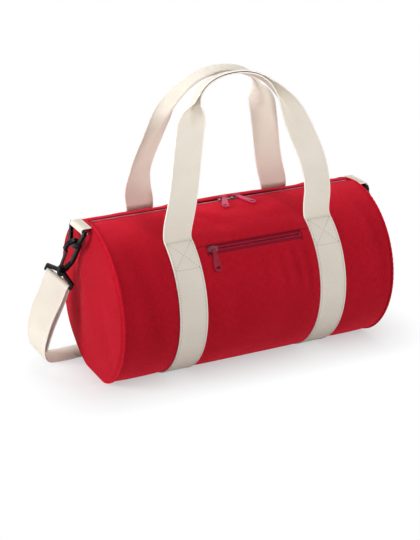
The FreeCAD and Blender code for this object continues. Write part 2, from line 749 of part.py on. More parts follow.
# Gate: a tongue with a round root in the hook base, resting inside the beak
gate_half = GATE_THICKNESS / 2
gate_side = BACK * (-GATE_WIDTH / 2)
gate_tip_up = HOOK_REACH - HOOK_BEAK - HOOK_NOSE + GATE_BEAK_OVERLAP
gate_tip = Vector(-inside + SEAT + gate_half, 0, gate_tip_up)
gate_line = (gate_tip - gate_axis).normalize()
gate_across = gate_line.cross(BACK) * gate_half
gate_rim = wire_of(
    gate_axis + gate_side - gate_across,
    gate_tip + gate_side - gate_across,
    (gate_tip + gate_side + gate_line * gate_half, gate_tip + gate_side + gate_across),
    gate_axis + gate_side + gate_across,
    (gate_axis + gate_side - gate_line * gate_half, gate_axis + gate_side - gate_across),
)
left_hook_gate = placed(Part.Face(gate_rim).extrude(BACK * GATE_WIDTH), hook_frame)

# Swivel eye: collar round the stem, sloping shoulders and a round bar for the strap
eye_frame = hook_frame.multiply(Placement(ORIGIN, Rotation(UP, EYE_TURN)))
eye_half = EYE_INSIDE / 2
eye_out = eye_half + EYE_ARM
eye_low = -EYE_BAR_DROP
collar_top = -RUN
collar_low = -RUN - COLLAR_LENGTH
half_eye = ALONG * (-EYE_THICKNESS / 2)


def eye_point(along, up):
    return half_eye + BACK * along + UP * up


shoulder = collar_top + (eye_low - collar_top) * EYE_SHOULDER_SHARE
eye_rim = wire_of(
    eye_point(-eye_out, eye_low),
    eye_point(-eye_out, shoulder),
    eye_point(-COLLAR_RADIUS, collar_top),
    eye_point(COLLAR_RADIUS, collar_top),
    eye_point(eye_out, shoulder),
    eye_point(eye_out, eye_low),
    (eye_point(eye_out - EYE_ARM / 2, eye_low - EYE_ARM / 2), eye_point(eye_half, eye_low)),
    eye_point(eye_half, shoulder - EYE_ARM),
    eye_point(COLLAR_RADIUS, collar_low),
    eye_point(-COLLAR_RADIUS, collar_low),
    eye_point(-eye_half, shoulder - EYE_ARM),
    eye_point(-eye_half, eye_low),
    (eye_point(EYE_ARM / 2 - eye_out, eye_low - EYE_ARM / 2), eye_point(-eye_out, eye_low)),
)
eye_plate = eased(Part.Face(eye_rim).extrude(ALONG * EYE_THICKNESS), ALONG)
collar = Part.makeCylinder(COLLAR_RADIUS, COLLAR_LENGTH, UP * collar_low, UP)
collar_bore = Part.makeCylinder(STEM_RADIUS + RUN, COLLAR_LENGTH, UP * collar_low, UP)
eye_bar = Part.makeCylinder(
    EYE_BAR_RADIUS, 2 * eye_half, UP * eye_low - BACK * eye_half, BACK
)
eye_shape = eye_plate.fuse(collar).fuse(eye_bar).removeSplitter().cut(collar_bore)
left_swivel_eye = placed(eye_shape, eye_frame)

# Webbing loop over the eye bar
loop_inside = EYE_BAR_RADIUS + SEAT
loop_outside = loop_inside + WEBBING
loop_base = UP * eye_low - BACK * HALF_WEBBING
loop_rim = wire_of(
    loop_base - ALONG * loop_outside,
    (loop_base + UP * loop_outside, loop_base + ALONG * loop_outside),
    loop_base + ALONG * loop_inside,
    (loop_base + UP * loop_inside, loop_base - ALONG * loop_inside),
)
loop_shape = Part.Face(loop_rim).extrude(BACK * WEBBING_WIDTH)
left_strap_loop = placed(loop_shape, eye_frame)

# Strap falls: from the loop down and back to the run on the floor
loop_middle = (loop_inside + loop_outside) / 2
eye_turned = eye_frame.Rotation
bar_centre = eye_frame.multVec(UP * eye_low)
bar_along = eye_turned.multVec(BACK)
bar_out = eye_turned.multVec(-ALONG)
run_start = Vector(-STRAP_RUN_HALF, STRAP_RUN_BACK, RUN_HEIGHT + WEBBING / 2)


def fall_sections(points, turns):
    """Sections evenly along a smooth line through the points, turning as they go."""
    curve = Part.BSplineCurve()
    first = eye_turned.multVec(-UP) * points[0].distanceToPoint(points[1])
    last_step = points[-1] - points[-2]
    curve.interpolate(points, InitialTangent=first, FinalTangent=last_step)
    knots = [curve.parameter(point) for point in points]
    sections = []
    for step in range(FALL_STEPS + 1):
        place = knots[0] + (knots[-1] - knots[0]) * step / FALL_STEPS
        span = max(index for index in range(len(knots) - 1) if knots[index] <= place)
        part_way = (place - knots[span]) / (knots[span + 1] - knots[span])
        turn = turns[span] + (turns[span + 1] - turns[span]) * part_way
        tangent = curve.tangent(place)[0]
        across = bar_along * (1 - turn) + BACK * turn
        across = (across - tangent * across.dot(tangent)).normalize()
        sections.append((curve.value(place), across, across.cross(tangent).normalize()))
    return sections


fall_points = [bar_centre + bar_out * loop_middle - hook_up * SEAT]
fall_turns = [0]
for fall, back, out, turn in STRAP_FALL_SHARES:
    fall_points.append(
        Vector(
            bar_centre.x - out * STRAP_BULGE,
            bar_centre.y + back * (run_start.y - bar_centre.y),
            bar_centre.z + fall * (run_start.z - bar_centre.z),
        )
    )
    fall_turns.append(turn)
fall_points.append(run_start - ALONG * SEAT)
fall_turns.append(1)
outer_sections = fall_sections(fall_points, fall_turns)
left_strap_fall = ribbon(outer_sections, True)

inner_start = bar_centre - bar_out * loop_middle - hook_up * SEAT


def inner_points(count):
    """Places on the bag side of the strap, a layer away, closing in from the bar."""
    points = [inner_start]
    for index in range(1, count):
        point = fall_points[index]
        nearest = min(outer_sections, key=lambda section: section[0].distanceToPoint(point))
        step = WEBBING + SEAT + LAYER_SPREAD * LAYER_SHARES[index]
        points.append(point - nearest[2] * step)
    return points


left_strap_fold = ribbon(
    fall_sections(inner_points(FOLD_POINTS), fall_turns[:FOLD_POINTS]), True
)
return_points = inner_points(len(fall_points))
right_strap_return = mirrored(ribbon(fall_sections(return_points, fall_turns), True))

strap_run = box(
    -STRAP_RUN_HALF, STRAP_RUN_HALF, STRAP_RUN_BACK - HALF_WEBBING, STRAP_RUN_BACK + HALF_WEBBING,
    RUN_HEIGHT, RUN_HEIGHT + WEBBING,
)
return_height = RUN_HEIGHT + WEBBING + SEAT
strap_return = box(
    STRAP_END_PLACE, STRAP_RUN_HALF, STRAP_RUN_BACK - HALF_WEBBING, STRAP_RUN_BACK + HALF_WEBBING,
    return_height, return_height + WEBBING,
)

# Strap adjuster: two bars under the strap, one over it, between two side rails
adjuster_half = ADJUSTER_LENGTH / 2
rail_in = HALF_WEBBING + SEAT
rail_out = rail_in + ADJUSTER_RAIL
adjuster_top = return_height + ADJUSTER_THICKNESS
adjuster_frame = Placement(Vector(ADJUSTER_PLACE, STRAP_RUN_BACK, 0), Rotation())
adjuster_shape = box(-ADJUSTER_BAR / 2, ADJUSTER_BAR / 2, -rail_in, rail_in, return_height, adjuster_top)
for x in (-adjuster_half, adjuster_half - ADJUSTER_BAR):
    adjuster_shape = adjuster_shape.fuse(
        box(x, x + ADJUSTER_BAR, -rail_in, rail_in, 0, ADJUSTER_THICKNESS)
    )
for side in (-1, 1):
    edges = sorted((side * rail_in, side * rail_out))
    rail_rim = wire_of(
        Vector(-adjuster_half, edges[0], 0),
        Vector(adjuster_half, edges[0], 0),
        Vector(adjuster_half, edges[0], ADJUSTER_THICKNESS),
        Vector(ADJUSTER_BAR / 2, edges[0], adjuster_top),
        Vector(-ADJUSTER_BAR / 2, edges[0], adjuster_top),
        Vector(-adjuster_half, edges[0], ADJUSTER_THICKNESS),
    )
    adjuster_shape = adjuster_shape.fuse(Part.Face(rail_rim).extrude(BACK * ADJUSTER_RAIL))
strap_adjuster = placed(adjuster_shape.removeSplitter(), adjuster_frame)

PARTS = {
    "barrel_panel": barrel_panel,
    "left_end_panel": mirrored(right_end_panel),
    "right_end_panel": right_end_panel,
    "left_end_welt": mirrored(right_end_welt),
    "right_end_welt": right_end_welt,
    "left_seam_binding": mirrored(right_seam_binding),
    "right_seam_binding": right_seam_binding,
    "front_zip_tape": front_zip_tape,
    "rear_zip_tape": rear_zip_tape,
    "front_zip_coil": front_zip_coil,
    "rear_zip_coil": rear_zip_coil,
    "left_zip_slider": main_sliders[0],
    "left_zip_puller": main_pullers[0],
    "right_zip_slider": main_sliders[1],
    "right_zip_puller": main_pullers[1],
    "pocket_panel": pocket_panel,
    "upper_pocket_tape": upper_pocket_tape,
    "lower_pocket_tape": lower_pocket_tape,
    "upper_pocket_coil": upper_pocket_coil,
    "lower_pocket_coil": lower_pocket_coil,
    "pocket_left_stop": pocket_left_stop,
    "pocket_right_stop": pocket_right_stop,
    "pocket_slider": pocket_slider,
    "pocket_puller": pocket_puller,
    "left_band": mirrored(right_band),
    "right_band": right_band,
    "front_handle": front_handle,
    "rear_handle": rear_handle,
    "left_ring_tab": left_ring_tab,
    "right_ring_tab": mirrored(left_ring_tab),
    "left_ring": left_ring,
    "right_ring": mirrored(left_ring),
    "left_snap_hook": left_snap_hook,
    "right_snap_hook": mirrored(left_snap_hook),
    "left_hook_gate": left_hook_gate,
    "right_hook_gate": mirrored(left_hook_gate),
    "left_swivel_eye": left_swivel_eye,
    "right_swivel_eye": mirrored(left_swivel_eye),
    "left_strap_loop": left_strap_loop,
    "right_strap_loop": mirrored(left_strap_loop),
    "left_strap_fall": left_strap_fall,
    "right_strap_fall": mirrored(left_strap_fall),
    "left_strap_fold": left_strap_fold,
    "right_strap_return": right_strap_return,
    "strap_run": strap_run,
    "strap_return": strap_return,
    "strap_adjuster": strap_adjuster,
}

os.makedirs("parts", exist_ok=True)
for name, shape in PARTS.items():
    shape.exportStep("parts/" + name + ".step")
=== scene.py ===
"""A red barrel bag with cream webbing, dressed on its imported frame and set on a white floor."""

import math

import bmesh
import bpy
import numpy as np
from mathutils import Matrix, Vector


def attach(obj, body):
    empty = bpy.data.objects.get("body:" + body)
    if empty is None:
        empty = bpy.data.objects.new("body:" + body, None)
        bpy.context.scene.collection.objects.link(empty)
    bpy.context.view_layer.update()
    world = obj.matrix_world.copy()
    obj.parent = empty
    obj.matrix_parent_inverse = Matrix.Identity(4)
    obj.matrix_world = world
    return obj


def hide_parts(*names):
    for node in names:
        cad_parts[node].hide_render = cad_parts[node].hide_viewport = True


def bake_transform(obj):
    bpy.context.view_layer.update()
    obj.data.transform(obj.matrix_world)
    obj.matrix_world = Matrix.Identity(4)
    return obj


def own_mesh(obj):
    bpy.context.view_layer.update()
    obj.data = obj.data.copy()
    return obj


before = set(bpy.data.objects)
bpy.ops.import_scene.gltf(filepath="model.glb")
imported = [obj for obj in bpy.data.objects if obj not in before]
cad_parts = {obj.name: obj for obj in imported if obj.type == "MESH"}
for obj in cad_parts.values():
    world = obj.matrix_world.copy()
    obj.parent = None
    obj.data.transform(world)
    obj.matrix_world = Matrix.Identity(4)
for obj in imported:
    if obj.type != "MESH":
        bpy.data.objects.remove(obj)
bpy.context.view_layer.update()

MM = 0.001
FULL_TURN = 2 * math.pi
ENDS = ((-1, "left"), (1, "right"))

# Barrel: X runs along the bag, -Y is the pocket side, and places round the barrel are
# metres of cloth from the top, towards the pocket side
HALF_LENGTH = 200 * MM
RADIUS = 110 * MM
CLOTH = 1.2 * MM
FLOOR_HALF = 26 * MM
FLOOR_BLEND = 30 * MM
FLOOR_RISE = 2 * MM
END_RIM = 203 * MM
END_DOME = 8 * MM
WELT = 1.6 * MM

BLEND_LEAN = math.asin(FLOOR_HALF / (RADIUS - FLOOR_BLEND))
BLEND_HEIGHT = FLOOR_RISE + FLOOR_BLEND
AXIS = BLEND_HEIGHT + (RADIUS - FLOOR_BLEND) * math.cos(BLEND_LEAN)
ROUND_REACH = RADIUS * (math.pi - BLEND_LEAN)
FLOOR_PLACE = ROUND_REACH + FLOOR_BLEND * BLEND_LEAN
HALF_GIRTH = FLOOR_PLACE + FLOOR_HALF
GIRTH = 2 * HALF_GIRTH

# Webbing
WEBBING_WIDTH = 40 * MM
WEBBING = 2 * MM
BAND_PLACE = 104 * MM
FOLD_ANGLE = 34.5
BAND_TOP_ANGLE = 37.5
HANDLE_REACH = 204 * MM
HANDLE_TOP_GAP = 2 * MM
GRIP_GAP = 1 * MM
SEAT = 0.3 * MM
# Along, up and fold shares of the band's place, the reach and a quarter turn
HANDLE_SHARES = (
    (-0.99, 0.05, 0), (-0.94, 0.13, 0), (-0.87, 0.235, 0), (-0.775, 0.42, 0),
    (-0.705, 0.57, 0), (-0.645, 0.69, 0.03), (-0.60, 0.765, 0.40), (-0.555, 0.83, 0.88),
    (-0.50, 0.885, 1), (-0.42, 0.93, 1), (-0.31, 0.965, 1), (-0.13, 0.993, 1),
    (0.05, 1.00, 1), (0.20, 0.993, 1), (0.37, 0.963, 1), (0.505, 0.913, 0.96),
    (0.65, 0.825, 0.74), (0.79, 0.69, 0.32), (0.91, 0.545, 0.05), (1.01, 0.395, 0),
    (1.05, 0.27, 0), (1.04, 0.15, 0), (1.00, 0.05, 0),
)

# Zips
ZIP_ANGLE = -5
ZIP_OFFSET = -1.8 * MM
ZIP_LIP = 6.3 * MM
ZIP_END = 198 * MM
CHAIN_END = 196 * MM
POCKET_ZIP_ANGLE = 46.2
POCKET_ZIP_OFFSET = 2.43 * MM
POCKET_ZIP_SHARE = 0.76
POCKET_ZIP_ENDS = (-71 * MM, 68 * MM)
TOOTH_PITCH = 2.8 * MM
TOOTH_REACH = 2.4 * MM
TOOTH_HEIGHT = 2.2 * MM
CHAIN_HALF = 3.4 * MM
CORD_RADIUS = 0.7 * MM
TAPE = 0.6 * MM
TAPE_START = 3 * MM
TAPE_HALF = 15 * MM

# Pocket
POCKET_TOP_ANGLE = 42.5
POCKET_WINDOW_ANGLE = 49.8
POCKET_BOTTOM_ANGLE = 148
POCKET_RISE = 3.9 * MM
POCKET_EDGE = 87 * MM
SEAM_RISE = 4.9 * MM
SEAM_HALF = 84 * MM

# Tabs, rings, hooks and shoulder strap
RING_CENTRE = Vector((-212.5, 9.064, 211.261)) * MM
TAB_TURN = 3.6 * MM
HOOK_OUT = math.sin(math.radians(13))
HOOK_BACK = math.sin(math.radians(25))
EYE_TURN = math.radians(30)
BAR_CENTRE = Vector((-234.91, 34.781, 133.876)) * MM
LOOP_TURN = 3.5 * MM
RUN_START = Vector((-204, 75, 3.5)) * MM
STRAP_BULGE = 25 * MM
# Fall, back, out and turn shares of the way from the eye bar to the floor run
FALL_SHARES = (
    (0.16, 0.12, 0.36, 0.00), (0.36, 0.30, 0.74, 0.05), (0.60, 0.53, 1.00, 0.25),
    (0.82, 0.76, 0.97, 0.55), (0.95, 0.90, 0.62, 0.85), (1.00, 1.00, -0.04, 1.00),
)
FOLD_POINTS = 5
LAYER_SPREAD = 9 * MM
LAYER_SHARES = (0.0, 0.8, 1.0, 0.6, 0.08, 0.0, 0.0, 0.0)
RETURN_HEIGHT = 5.8 * MM
RETURN_START = -20 * MM


def arc(angle):
    """Metres of cloth round the barrel for an angle from the top."""
    return RADIUS * math.radians(angle)


ZIP_PLACE = arc(ZIP_ANGLE)
POCKET_ZIP_PLACE = arc(POCKET_ZIP_ANGLE)
POCKET_TOP = arc(POCKET_TOP_ANGLE)
POCKET_BOTTOM = arc(POCKET_BOTTOM_ANGLE)
WINDOW_LOW = arc(POCKET_WINDOW_ANGLE)


def smooth(value, low, high):
    """0 below low, 1 above high, and an even rise between."""
    share = np.clip((value - low) / (high - low), 0, 1)
    return share * share * (3 - 2 * share)


def bell(value, middle, width):
    return np.exp(-(((value - middle) / width) ** 2))


def wrapped(s):
    """Places round the barrel counted from the top, half of them each way."""
    return (np.asarray(s, float) + HALF_GIRTH) % GIRTH - HALF_GIRTH


def barrel(x, s, lift):
    """Points that far out from the barrel at x and s, and the outward directions there."""
    x, s, lift = np.broadcast_arrays(np.asarray(x, float), wrapped(s), np.asarray(lift, float))
    side = np.where(s < 0, -1.0, 1.0)
    reach = np.abs(s)
    parts = [reach > FLOOR_PLACE, reach > ROUND_REACH]
    turn = reach / RADIUS
    lean = BLEND_LEAN - (reach - ROUND_REACH) / FLOOR_BLEND
    out_y = np.select(parts, [0, np.sin(lean)], np.sin(turn))
    out_z = np.select(parts, [-1, -np.cos(lean)], np.cos(turn))
    flat_y, bent_y = FLOOR_HALF - (reach - FLOOR_PLACE), FLOOR_HALF + (FLOOR_BLEND + lift) * out_y
    y = np.select(parts, [flat_y, bent_y], (RADIUS + lift) * out_y)
    flat_z, bent_z = FLOOR_RISE - lift, BLEND_HEIGHT + (FLOOR_BLEND + lift) * out_z
    z = np.select(parts, [flat_z, bent_z], AXIS + (RADIUS + lift) * out_z)
    points = np.stack([x, -side * y, z], -1)
    return points, np.stack([np.zeros_like(x), -side * out_y, out_z], -1)


# Soft folds on the barrel: from and to (x in mm, angle), width in mm and height in mm
BARREL_FOLDS = (
    ((-172, 40), (-162, 116), 15, -4.4),
    ((-146, 46), (-138, 104), 12, 1.9),
    ((-186, 70), (-184, 120), 7, 0.8),
    ((176, 28), (181, 90), 9, -2.6),
    ((160, 34), (154, 80), 10, 1.6),
    ((148, 80), (140, 120), 12, -0.9),
    ((-62, 12), (-26, 34), 9, -2.1),
    ((-46, 10), (-10, 31), 8, 1.0),
    ((18, 16), (44, 34), 8, -1.8),
    ((52, 10), (72, 31), 9, 0.9),
    ((-40, -25), (-20, -70), 14, -1.4),
    ((50, -35), (30, -95), 15, -1.5),
    ((-160, -30), (-172, -90), 10, -1.7),
    ((165, -40), (176, -110), 11, -1.5),
)
# Gathers below the pocket zip
POCKET_FOLDS = (
    ((2, 50), (0, 80), 8, -1.9),
    ((15, 50), (15, 76), 7, 1.0),
    ((28, 50), (29, 82), 6, -2.3),
    ((38, 50), (38, 78), 6, 1.3),
    ((47, 50), (50, 84), 6, -2.6),
    ((56, 50), (57, 78), 5, 1.5),
    ((64, 50), (66, 88), 6, -2.5),
    ((-50, 58), (-40, 104), 14, -2.2),
    ((-10, 70), (-2, 128), 18, 1.0),
    ((40, 88), (30, 132), 16, -1.0),
)


# Shares of a fold's length over which it starts and stops
FOLD_START = (-0.25, 0.3)
FOLD_STOP = (0.55, 1.25)


def folds(x, s, table):
    """Height of the soft folds of a table, each fading at its two ends."""
    height = np.zeros(np.broadcast(x, s).shape)
    for (x0, angle0), (x1, angle1), width, rise in table:
        start = np.array([x0 * MM, arc(angle0)])
        step = np.array([x1 * MM, arc(angle1)]) - start
        reach = np.hypot(*step)
        along = ((x - start[0]) * step[0] + (s - start[1]) * step[1]) / reach**2
        across = ((x - start[0]) * step[1] - (s - start[1]) * step[0]) / reach
        fade = smooth(along, *FOLD_START) * (1 - smooth(along, *FOLD_STOP))
        height = height + rise * MM * fade * bell(across, 0, width * MM)
    return height


CROWN = 2.2 * MM
CROWN_REACH = 90 * MM
FLOOR_SAG = 1.4 * MM
REAR_LIP = 2.8 * MM
LIP_WANDER = 1.0 * MM
PUCKER = 0.45 * MM
PUCKER_LENGTH = 15 * MM
PUCKER_REACH = 9 * MM
END_DIP = 1.6 * MM
END_DIP_REACH = 4 * MM
PUCKER_WAVER = (0.18, 61)
PUCKER_CHANGE = 23
# Distances and places over which the cloth's fullness comes and goes
END_FADE = (0, 40 * MM)
BAND_FADE = (19 * MM, 46 * MM)
ZIP_FADE = (7 * MM, 42 * MM)
PULLER_BED = (16 * MM, 44 * MM)
PULLER_REACH = 28 * MM
POCKET_SIDE_FADE = (78 * MM, 92 * MM)
POCKET_ZIP_FADE = (8 * MM, 30 * MM)
UNDERSIDE_FADE = (arc(118), arc(150))
SAG_FADE = (arc(140), FLOOR_PLACE)
SAG_END_FADE = (0, 30 * MM)
# Middle and width of the rear lip's swell along the zip and behind it
REAR_LIP_ALONG = (8 * MM, 70 * MM)
REAR_LIP_BEHIND = (15 * MM, 12 * MM)
# Slow swells of the cloth: waves along and round in turns per metre, phase and height in mm
SWELLS = (
    (7.5, 3.1, 0.4, 0.55), (4.2, -6.8, 2.1, 0.6), (11.0, 8.5, 4.4, 0.3), (-2.6, 12.4, 1.2, 0.3),
)


def cloth_lift(x, s):
    """How far the barrel cloth stands out from its round form."""
    x, s = np.broadcast_arrays(np.asarray(x, float), wrapped(s))
    reach = np.abs(s)
    to_end = HALF_LENGTH - np.abs(x)
    from_band = smooth(np.abs(np.abs(x) - BAND_PLACE), *BAND_FADE)
    under_pullers = bell(x, *PULLER_BED) * (s > ZIP_PLACE)
    from_zip = smooth(np.abs(s - ZIP_PLACE) - PULLER_REACH * under_pullers, *ZIP_FADE)
    over_pocket = 1 - smooth(np.abs(x), *POCKET_SIDE_FADE)
    at_pocket_zip = 1 - smooth(np.abs(s - POCKET_ZIP_PLACE), *POCKET_ZIP_FADE)
    lift = CROWN * smooth(to_end, 0, CROWN_REACH) * from_band
    for along, around, phase, rise in SWELLS:
        swell = np.sin(FULL_TURN * (along * x + around * s) + phase)
        lift = lift + rise * MM * swell * smooth(to_end, *END_FADE) * from_band
    lift = lift + folds(x, s, BARREL_FOLDS) * from_band
    lift = lift * from_zip * (1 - over_pocket * at_pocket_zip)
    waver = PUCKER_LENGTH * (1 + PUCKER_WAVER[0] * np.sin(s * PUCKER_WAVER[1]))
    pucker = np.sin(FULL_TURN * s / waver) * np.sin(s * PUCKER_CHANGE + np.sign(x))
    lift = lift + PUCKER * pucker * np.exp(-to_end / PUCKER_REACH) * from_zip
    lift = lift - END_DIP * np.exp(-to_end / END_DIP_REACH)
    lift = lift * (1 - smooth(reach, *UNDERSIDE_FADE))
    behind_zip = ZIP_PLACE - s
    rear_lip = bell(x, *REAR_LIP_ALONG) * bell(behind_zip, *REAR_LIP_BEHIND) * (behind_zip > 0)
    sag = smooth(reach, *SAG_FADE) * from_band * smooth(to_end, *SAG_END_FADE)
    return lift + REAR_LIP * rear_lip + FLOOR_SAG * sag


SEAM_SIDE_RISE = 1.3 * MM
POCKET_SIDE_RISE = 0.8 * MM
POCKET_BELLY = 1.6 * MM
POCKET_TUCK = 1.6 * MM
SEAM_SIDE_FADE = (66 * MM, 86 * MM)
SEAM_END_FADE = (84 * MM, 94 * MM)
SEAM_SLOPE = (arc(26), arc(POCKET_TOP_ANGLE - 0.6))
SEAM_EDGE = (POCKET_TOP, arc(POCKET_TOP_ANGLE + 0.9))
POCKET_FADE = (70 * MM, 86 * MM)
# Share of the rise that is lost between two places
POCKET_FALLS = ((0.62, arc(56), arc(118)), (0.22, arc(118), POCKET_BOTTOM))
PULLER_CLEAR = (arc(60), arc(70))
BELLY_ROUND = (arc(92), arc(34))
BELLY_ALONG = (0, 62 * MM)
TUCK_FADE = (arc(POCKET_TOP_ANGLE - 1.6), arc(POCKET_TOP_ANGLE + 1.6))


def seam_lift(x, s):
    """How far the cloth over the pocket's top edge is lifted by what lies under it."""
    sides = 1 - smooth(np.abs(x), *SEAM_SIDE_FADE)
    rise = SEAM_SIDE_RISE + (SEAM_RISE - SEAM_SIDE_RISE) * sides
    slope = smooth(s, *SEAM_SLOPE) * (1 - smooth(s, *SEAM_EDGE))
    return rise * slope * (1 - smooth(np.abs(x), *SEAM_END_FADE))


def pocket_lift(x, s):
    """How far the pocket panel's face stands out from the round barrel."""
    sides = 1 - smooth(np.abs(x), *POCKET_FADE)
    down = 1 - sum(lost * smooth(s, low, high) for lost, low, high in POCKET_FALLS)
    below_puller = smooth(s, *PULLER_CLEAR)
    belly = POCKET_BELLY * bell(s, *BELLY_ROUND) * bell(x, *BELLY_ALONG) * below_puller
    tuck = 1 - smooth(s, *TUCK_FADE)
    face = POCKET_SIDE_RISE + (POCKET_RISE - POCKET_SIDE_RISE) * sides * down
    gathers = folds(x, s, POCKET_FOLDS) * sides
    gathers = np.minimum(gathers, 0) + np.maximum(gathers, 0) * below_puller
    return face + belly - POCKET_TUCK * tuck * sides + gathers


# Meshes


SHARP_ANGLE = math.radians(70)


def link(name, mesh, finish):
    thing = bpy.data.objects.new(name, mesh)
    mesh.materials.append(finish)
    bpy.context.scene.collection.objects.link(thing)
    return thing


def cloth_mesh(name, points, faces, flat, finish):
    """Closed smooth mesh with each point's place on the flat cloth as its UV."""
    mesh = bpy.data.meshes.new(name)
    mesh.from_pydata(np.asarray(points).tolist(), [], faces)
    places = mesh.uv_layers.new(name="flat")
    corners = np.zeros(len(mesh.loops), np.int32)
    mesh.loops.foreach_get("vertex_index", corners)
    places.data.foreach_set("uv", np.asarray(flat, np.float32)[corners].ravel())
    shape = bmesh.new()
    shape.from_mesh(mesh)
    bmesh.ops.recalc_face_normals(shape, faces=shape.faces)
    shape.to_mesh(mesh)
    shape.free()
    mesh.shade_smooth()
    mesh.set_sharp_from_angle(angle=SHARP_ANGLE)
    return link(name, mesh, finish)


def numbered(rows, columns, closed=False):
    """Point numbers of a grid, with the first column again at the end of a closed one."""
    numbers = np.arange(rows * columns).reshape(rows, columns)
    return np.concatenate([numbers, numbers[:, :1]], 1) if closed else numbers


def squares(numbers):
    """The four corners of each square of a grid of point numbers."""
    corners = numbers[:-1, :-1], numbers[:-1, 1:], numbers[1:, 1:], numbers[1:, :-1]
    return np.stack(corners, -1)


def laid(name, x, s, top, bottom, finish, kept=None, shift=0.0):
    """Cloth with two faces and a rim on a grid of barrel places; kept leaves out squares."""
    below = x.size
    grid = squares(numbered(*x.shape))
    grid = grid.reshape(-1, 4) if kept is None else grid[kept]
    faces, edges = [], {}
    for square in grid.tolist():
        faces.append(square)
        faces.append([corner + below for corner in reversed(square)])
        for a, b in zip(square, square[1:] + square[:1]):
            key = (min(a, b), max(a, b))
            edges[key] = None if key in edges else (a, b)
    faces += [(b, a, a + below, b + below) for a, b in filter(None, edges.values())]
    points = np.concatenate([barrel(x, s, lift)[0].reshape(-1, 3) for lift in (top, bottom)])
    used, renumbered = np.unique(faces, return_inverse=True)
    faces = renumbered.reshape(-1, 4).tolist()
    flat = np.tile(np.stack([x, s + shift], -1).reshape(-1, 2), (2, 1))
    return cloth_mesh(name, points[used], faces, flat[used], finish)


def tube(name, rings, flat, finish, closed=False):
    """Rings of points joined one after the other, with end caps unless the tube is closed."""
    numbers = numbered(*rings.shape[:2], closed=True)
    if closed:
        faces = squares(np.concatenate([numbers, numbers[:1]])).reshape(-1, 4).tolist()
    else:
        faces = squares(numbers).reshape(-1, 4).tolist()
        faces += [numbers[0, -2::-1].tolist(), numbers[-1, :-1].tolist()]
    return cloth_mesh(name, rings.reshape(-1, 3), faces, flat.reshape(-1, 2), finish)


def along_line(points):
    steps = np.linalg.norm(np.diff(points, axis=0), axis=1)
    return np.concatenate([[0], np.cumsum(steps)])


def read_along(values, reach, places):
    """Rows of values given along a line, read at places between them."""
    return np.stack([np.interp(places, reach, column) for column in values.T], 1)


def spline(knots, values, places):
    """Smooth line through values at knots, read at places."""
    steps = np.diff(knots)
    matrix, right = np.eye(len(knots)), np.zeros_like(values)
    slopes = np.diff(values, axis=0) / steps[:, None]
    for i in range(1, len(knots) - 1):
        matrix[i, i - 1 : i + 2] = steps[i - 1], 2 * (steps[i - 1] + steps[i]), steps[i]
        right[i] = 6 * (slopes[i] - slopes[i - 1])
    bend = np.linalg.solve(matrix, right)
    span = np.clip(np.searchsorted(knots, places, side="right") - 1, 0, len(knots) - 2)
    step = steps[span][:, None]
    a = (knots[span + 1] - places)[:, None] / step
    b = 1 - a
    curve = ((a**3 - a) * bend[span] + (b**3 - b) * bend[span + 1]) * step**2 / 6
    return a * values[span] + b * values[span + 1] + curve


def unit(vectors):
    return vectors / np.linalg.norm(vectors, axis=-1, keepdims=True)


def tangents_of(centres):
    return unit(np.gradient(centres, along_line(centres), axis=0))


def squared(acrosses, tangents):
    """Width directions turned square to the line they lie on."""
    return unit(acrosses - tangents * (acrosses * tangents).sum(1, keepdims=True))


# Finishes


class Nodes:
    """A node tree whose nodes are added by short calls."""

    def __init__(self, tree):
        self.tree = tree
        tree.nodes.clear()

    def put(self, socket, value):
        if isinstance(value, bpy.types.NodeSocket):
            self.tree.links.new(value, socket)
        elif value is not None:
            socket.default_value = value

    def add(self, kind, output, inputs, **settings):
        """A new node with its inputs and settings; gives back one of its outputs."""
        node = self.tree.nodes.new(kind)
        for key, value in settings.items():
            setattr(node, key, value)
        for key, value in inputs.items():
            for one in value if isinstance(value, list) else [value]:
                self.put(node.inputs[key], one)
        return node.outputs[output]

    def end(self, kind, socket, value):
        self.put(self.tree.nodes.new(kind).inputs[socket], value)

    def math(self, operation, a, b=None, c=None):
        return self.add("ShaderNodeMath", 0, {0: a, 1: b, 2: c}, operation=operation)

    def blend(self, share, a, b):
        return self.add("ShaderNodeMix", 2, {0: share, 6: a, 7: b}, data_type="RGBA")

    def either(self, share, a, b):
        return self.add("ShaderNodeMixShader", 0, {0: share, 1: a, 2: b})

    def seen_rays(self):
        """1 for the rays that show the white ground: seen straight, in gloss or through glass."""
        rays = self.tree.nodes.new("ShaderNodeLightPath").outputs
        seen = rays["Is Camera Ray"]
        for kind in ("Is Glossy Ray", "Is Transmission Ray"):
            seen = self.math("MAXIMUM", seen, rays[kind])
        return seen


def new_material(name):
    material = bpy.data.materials.new(name)
    material.use_nodes = True
    return material


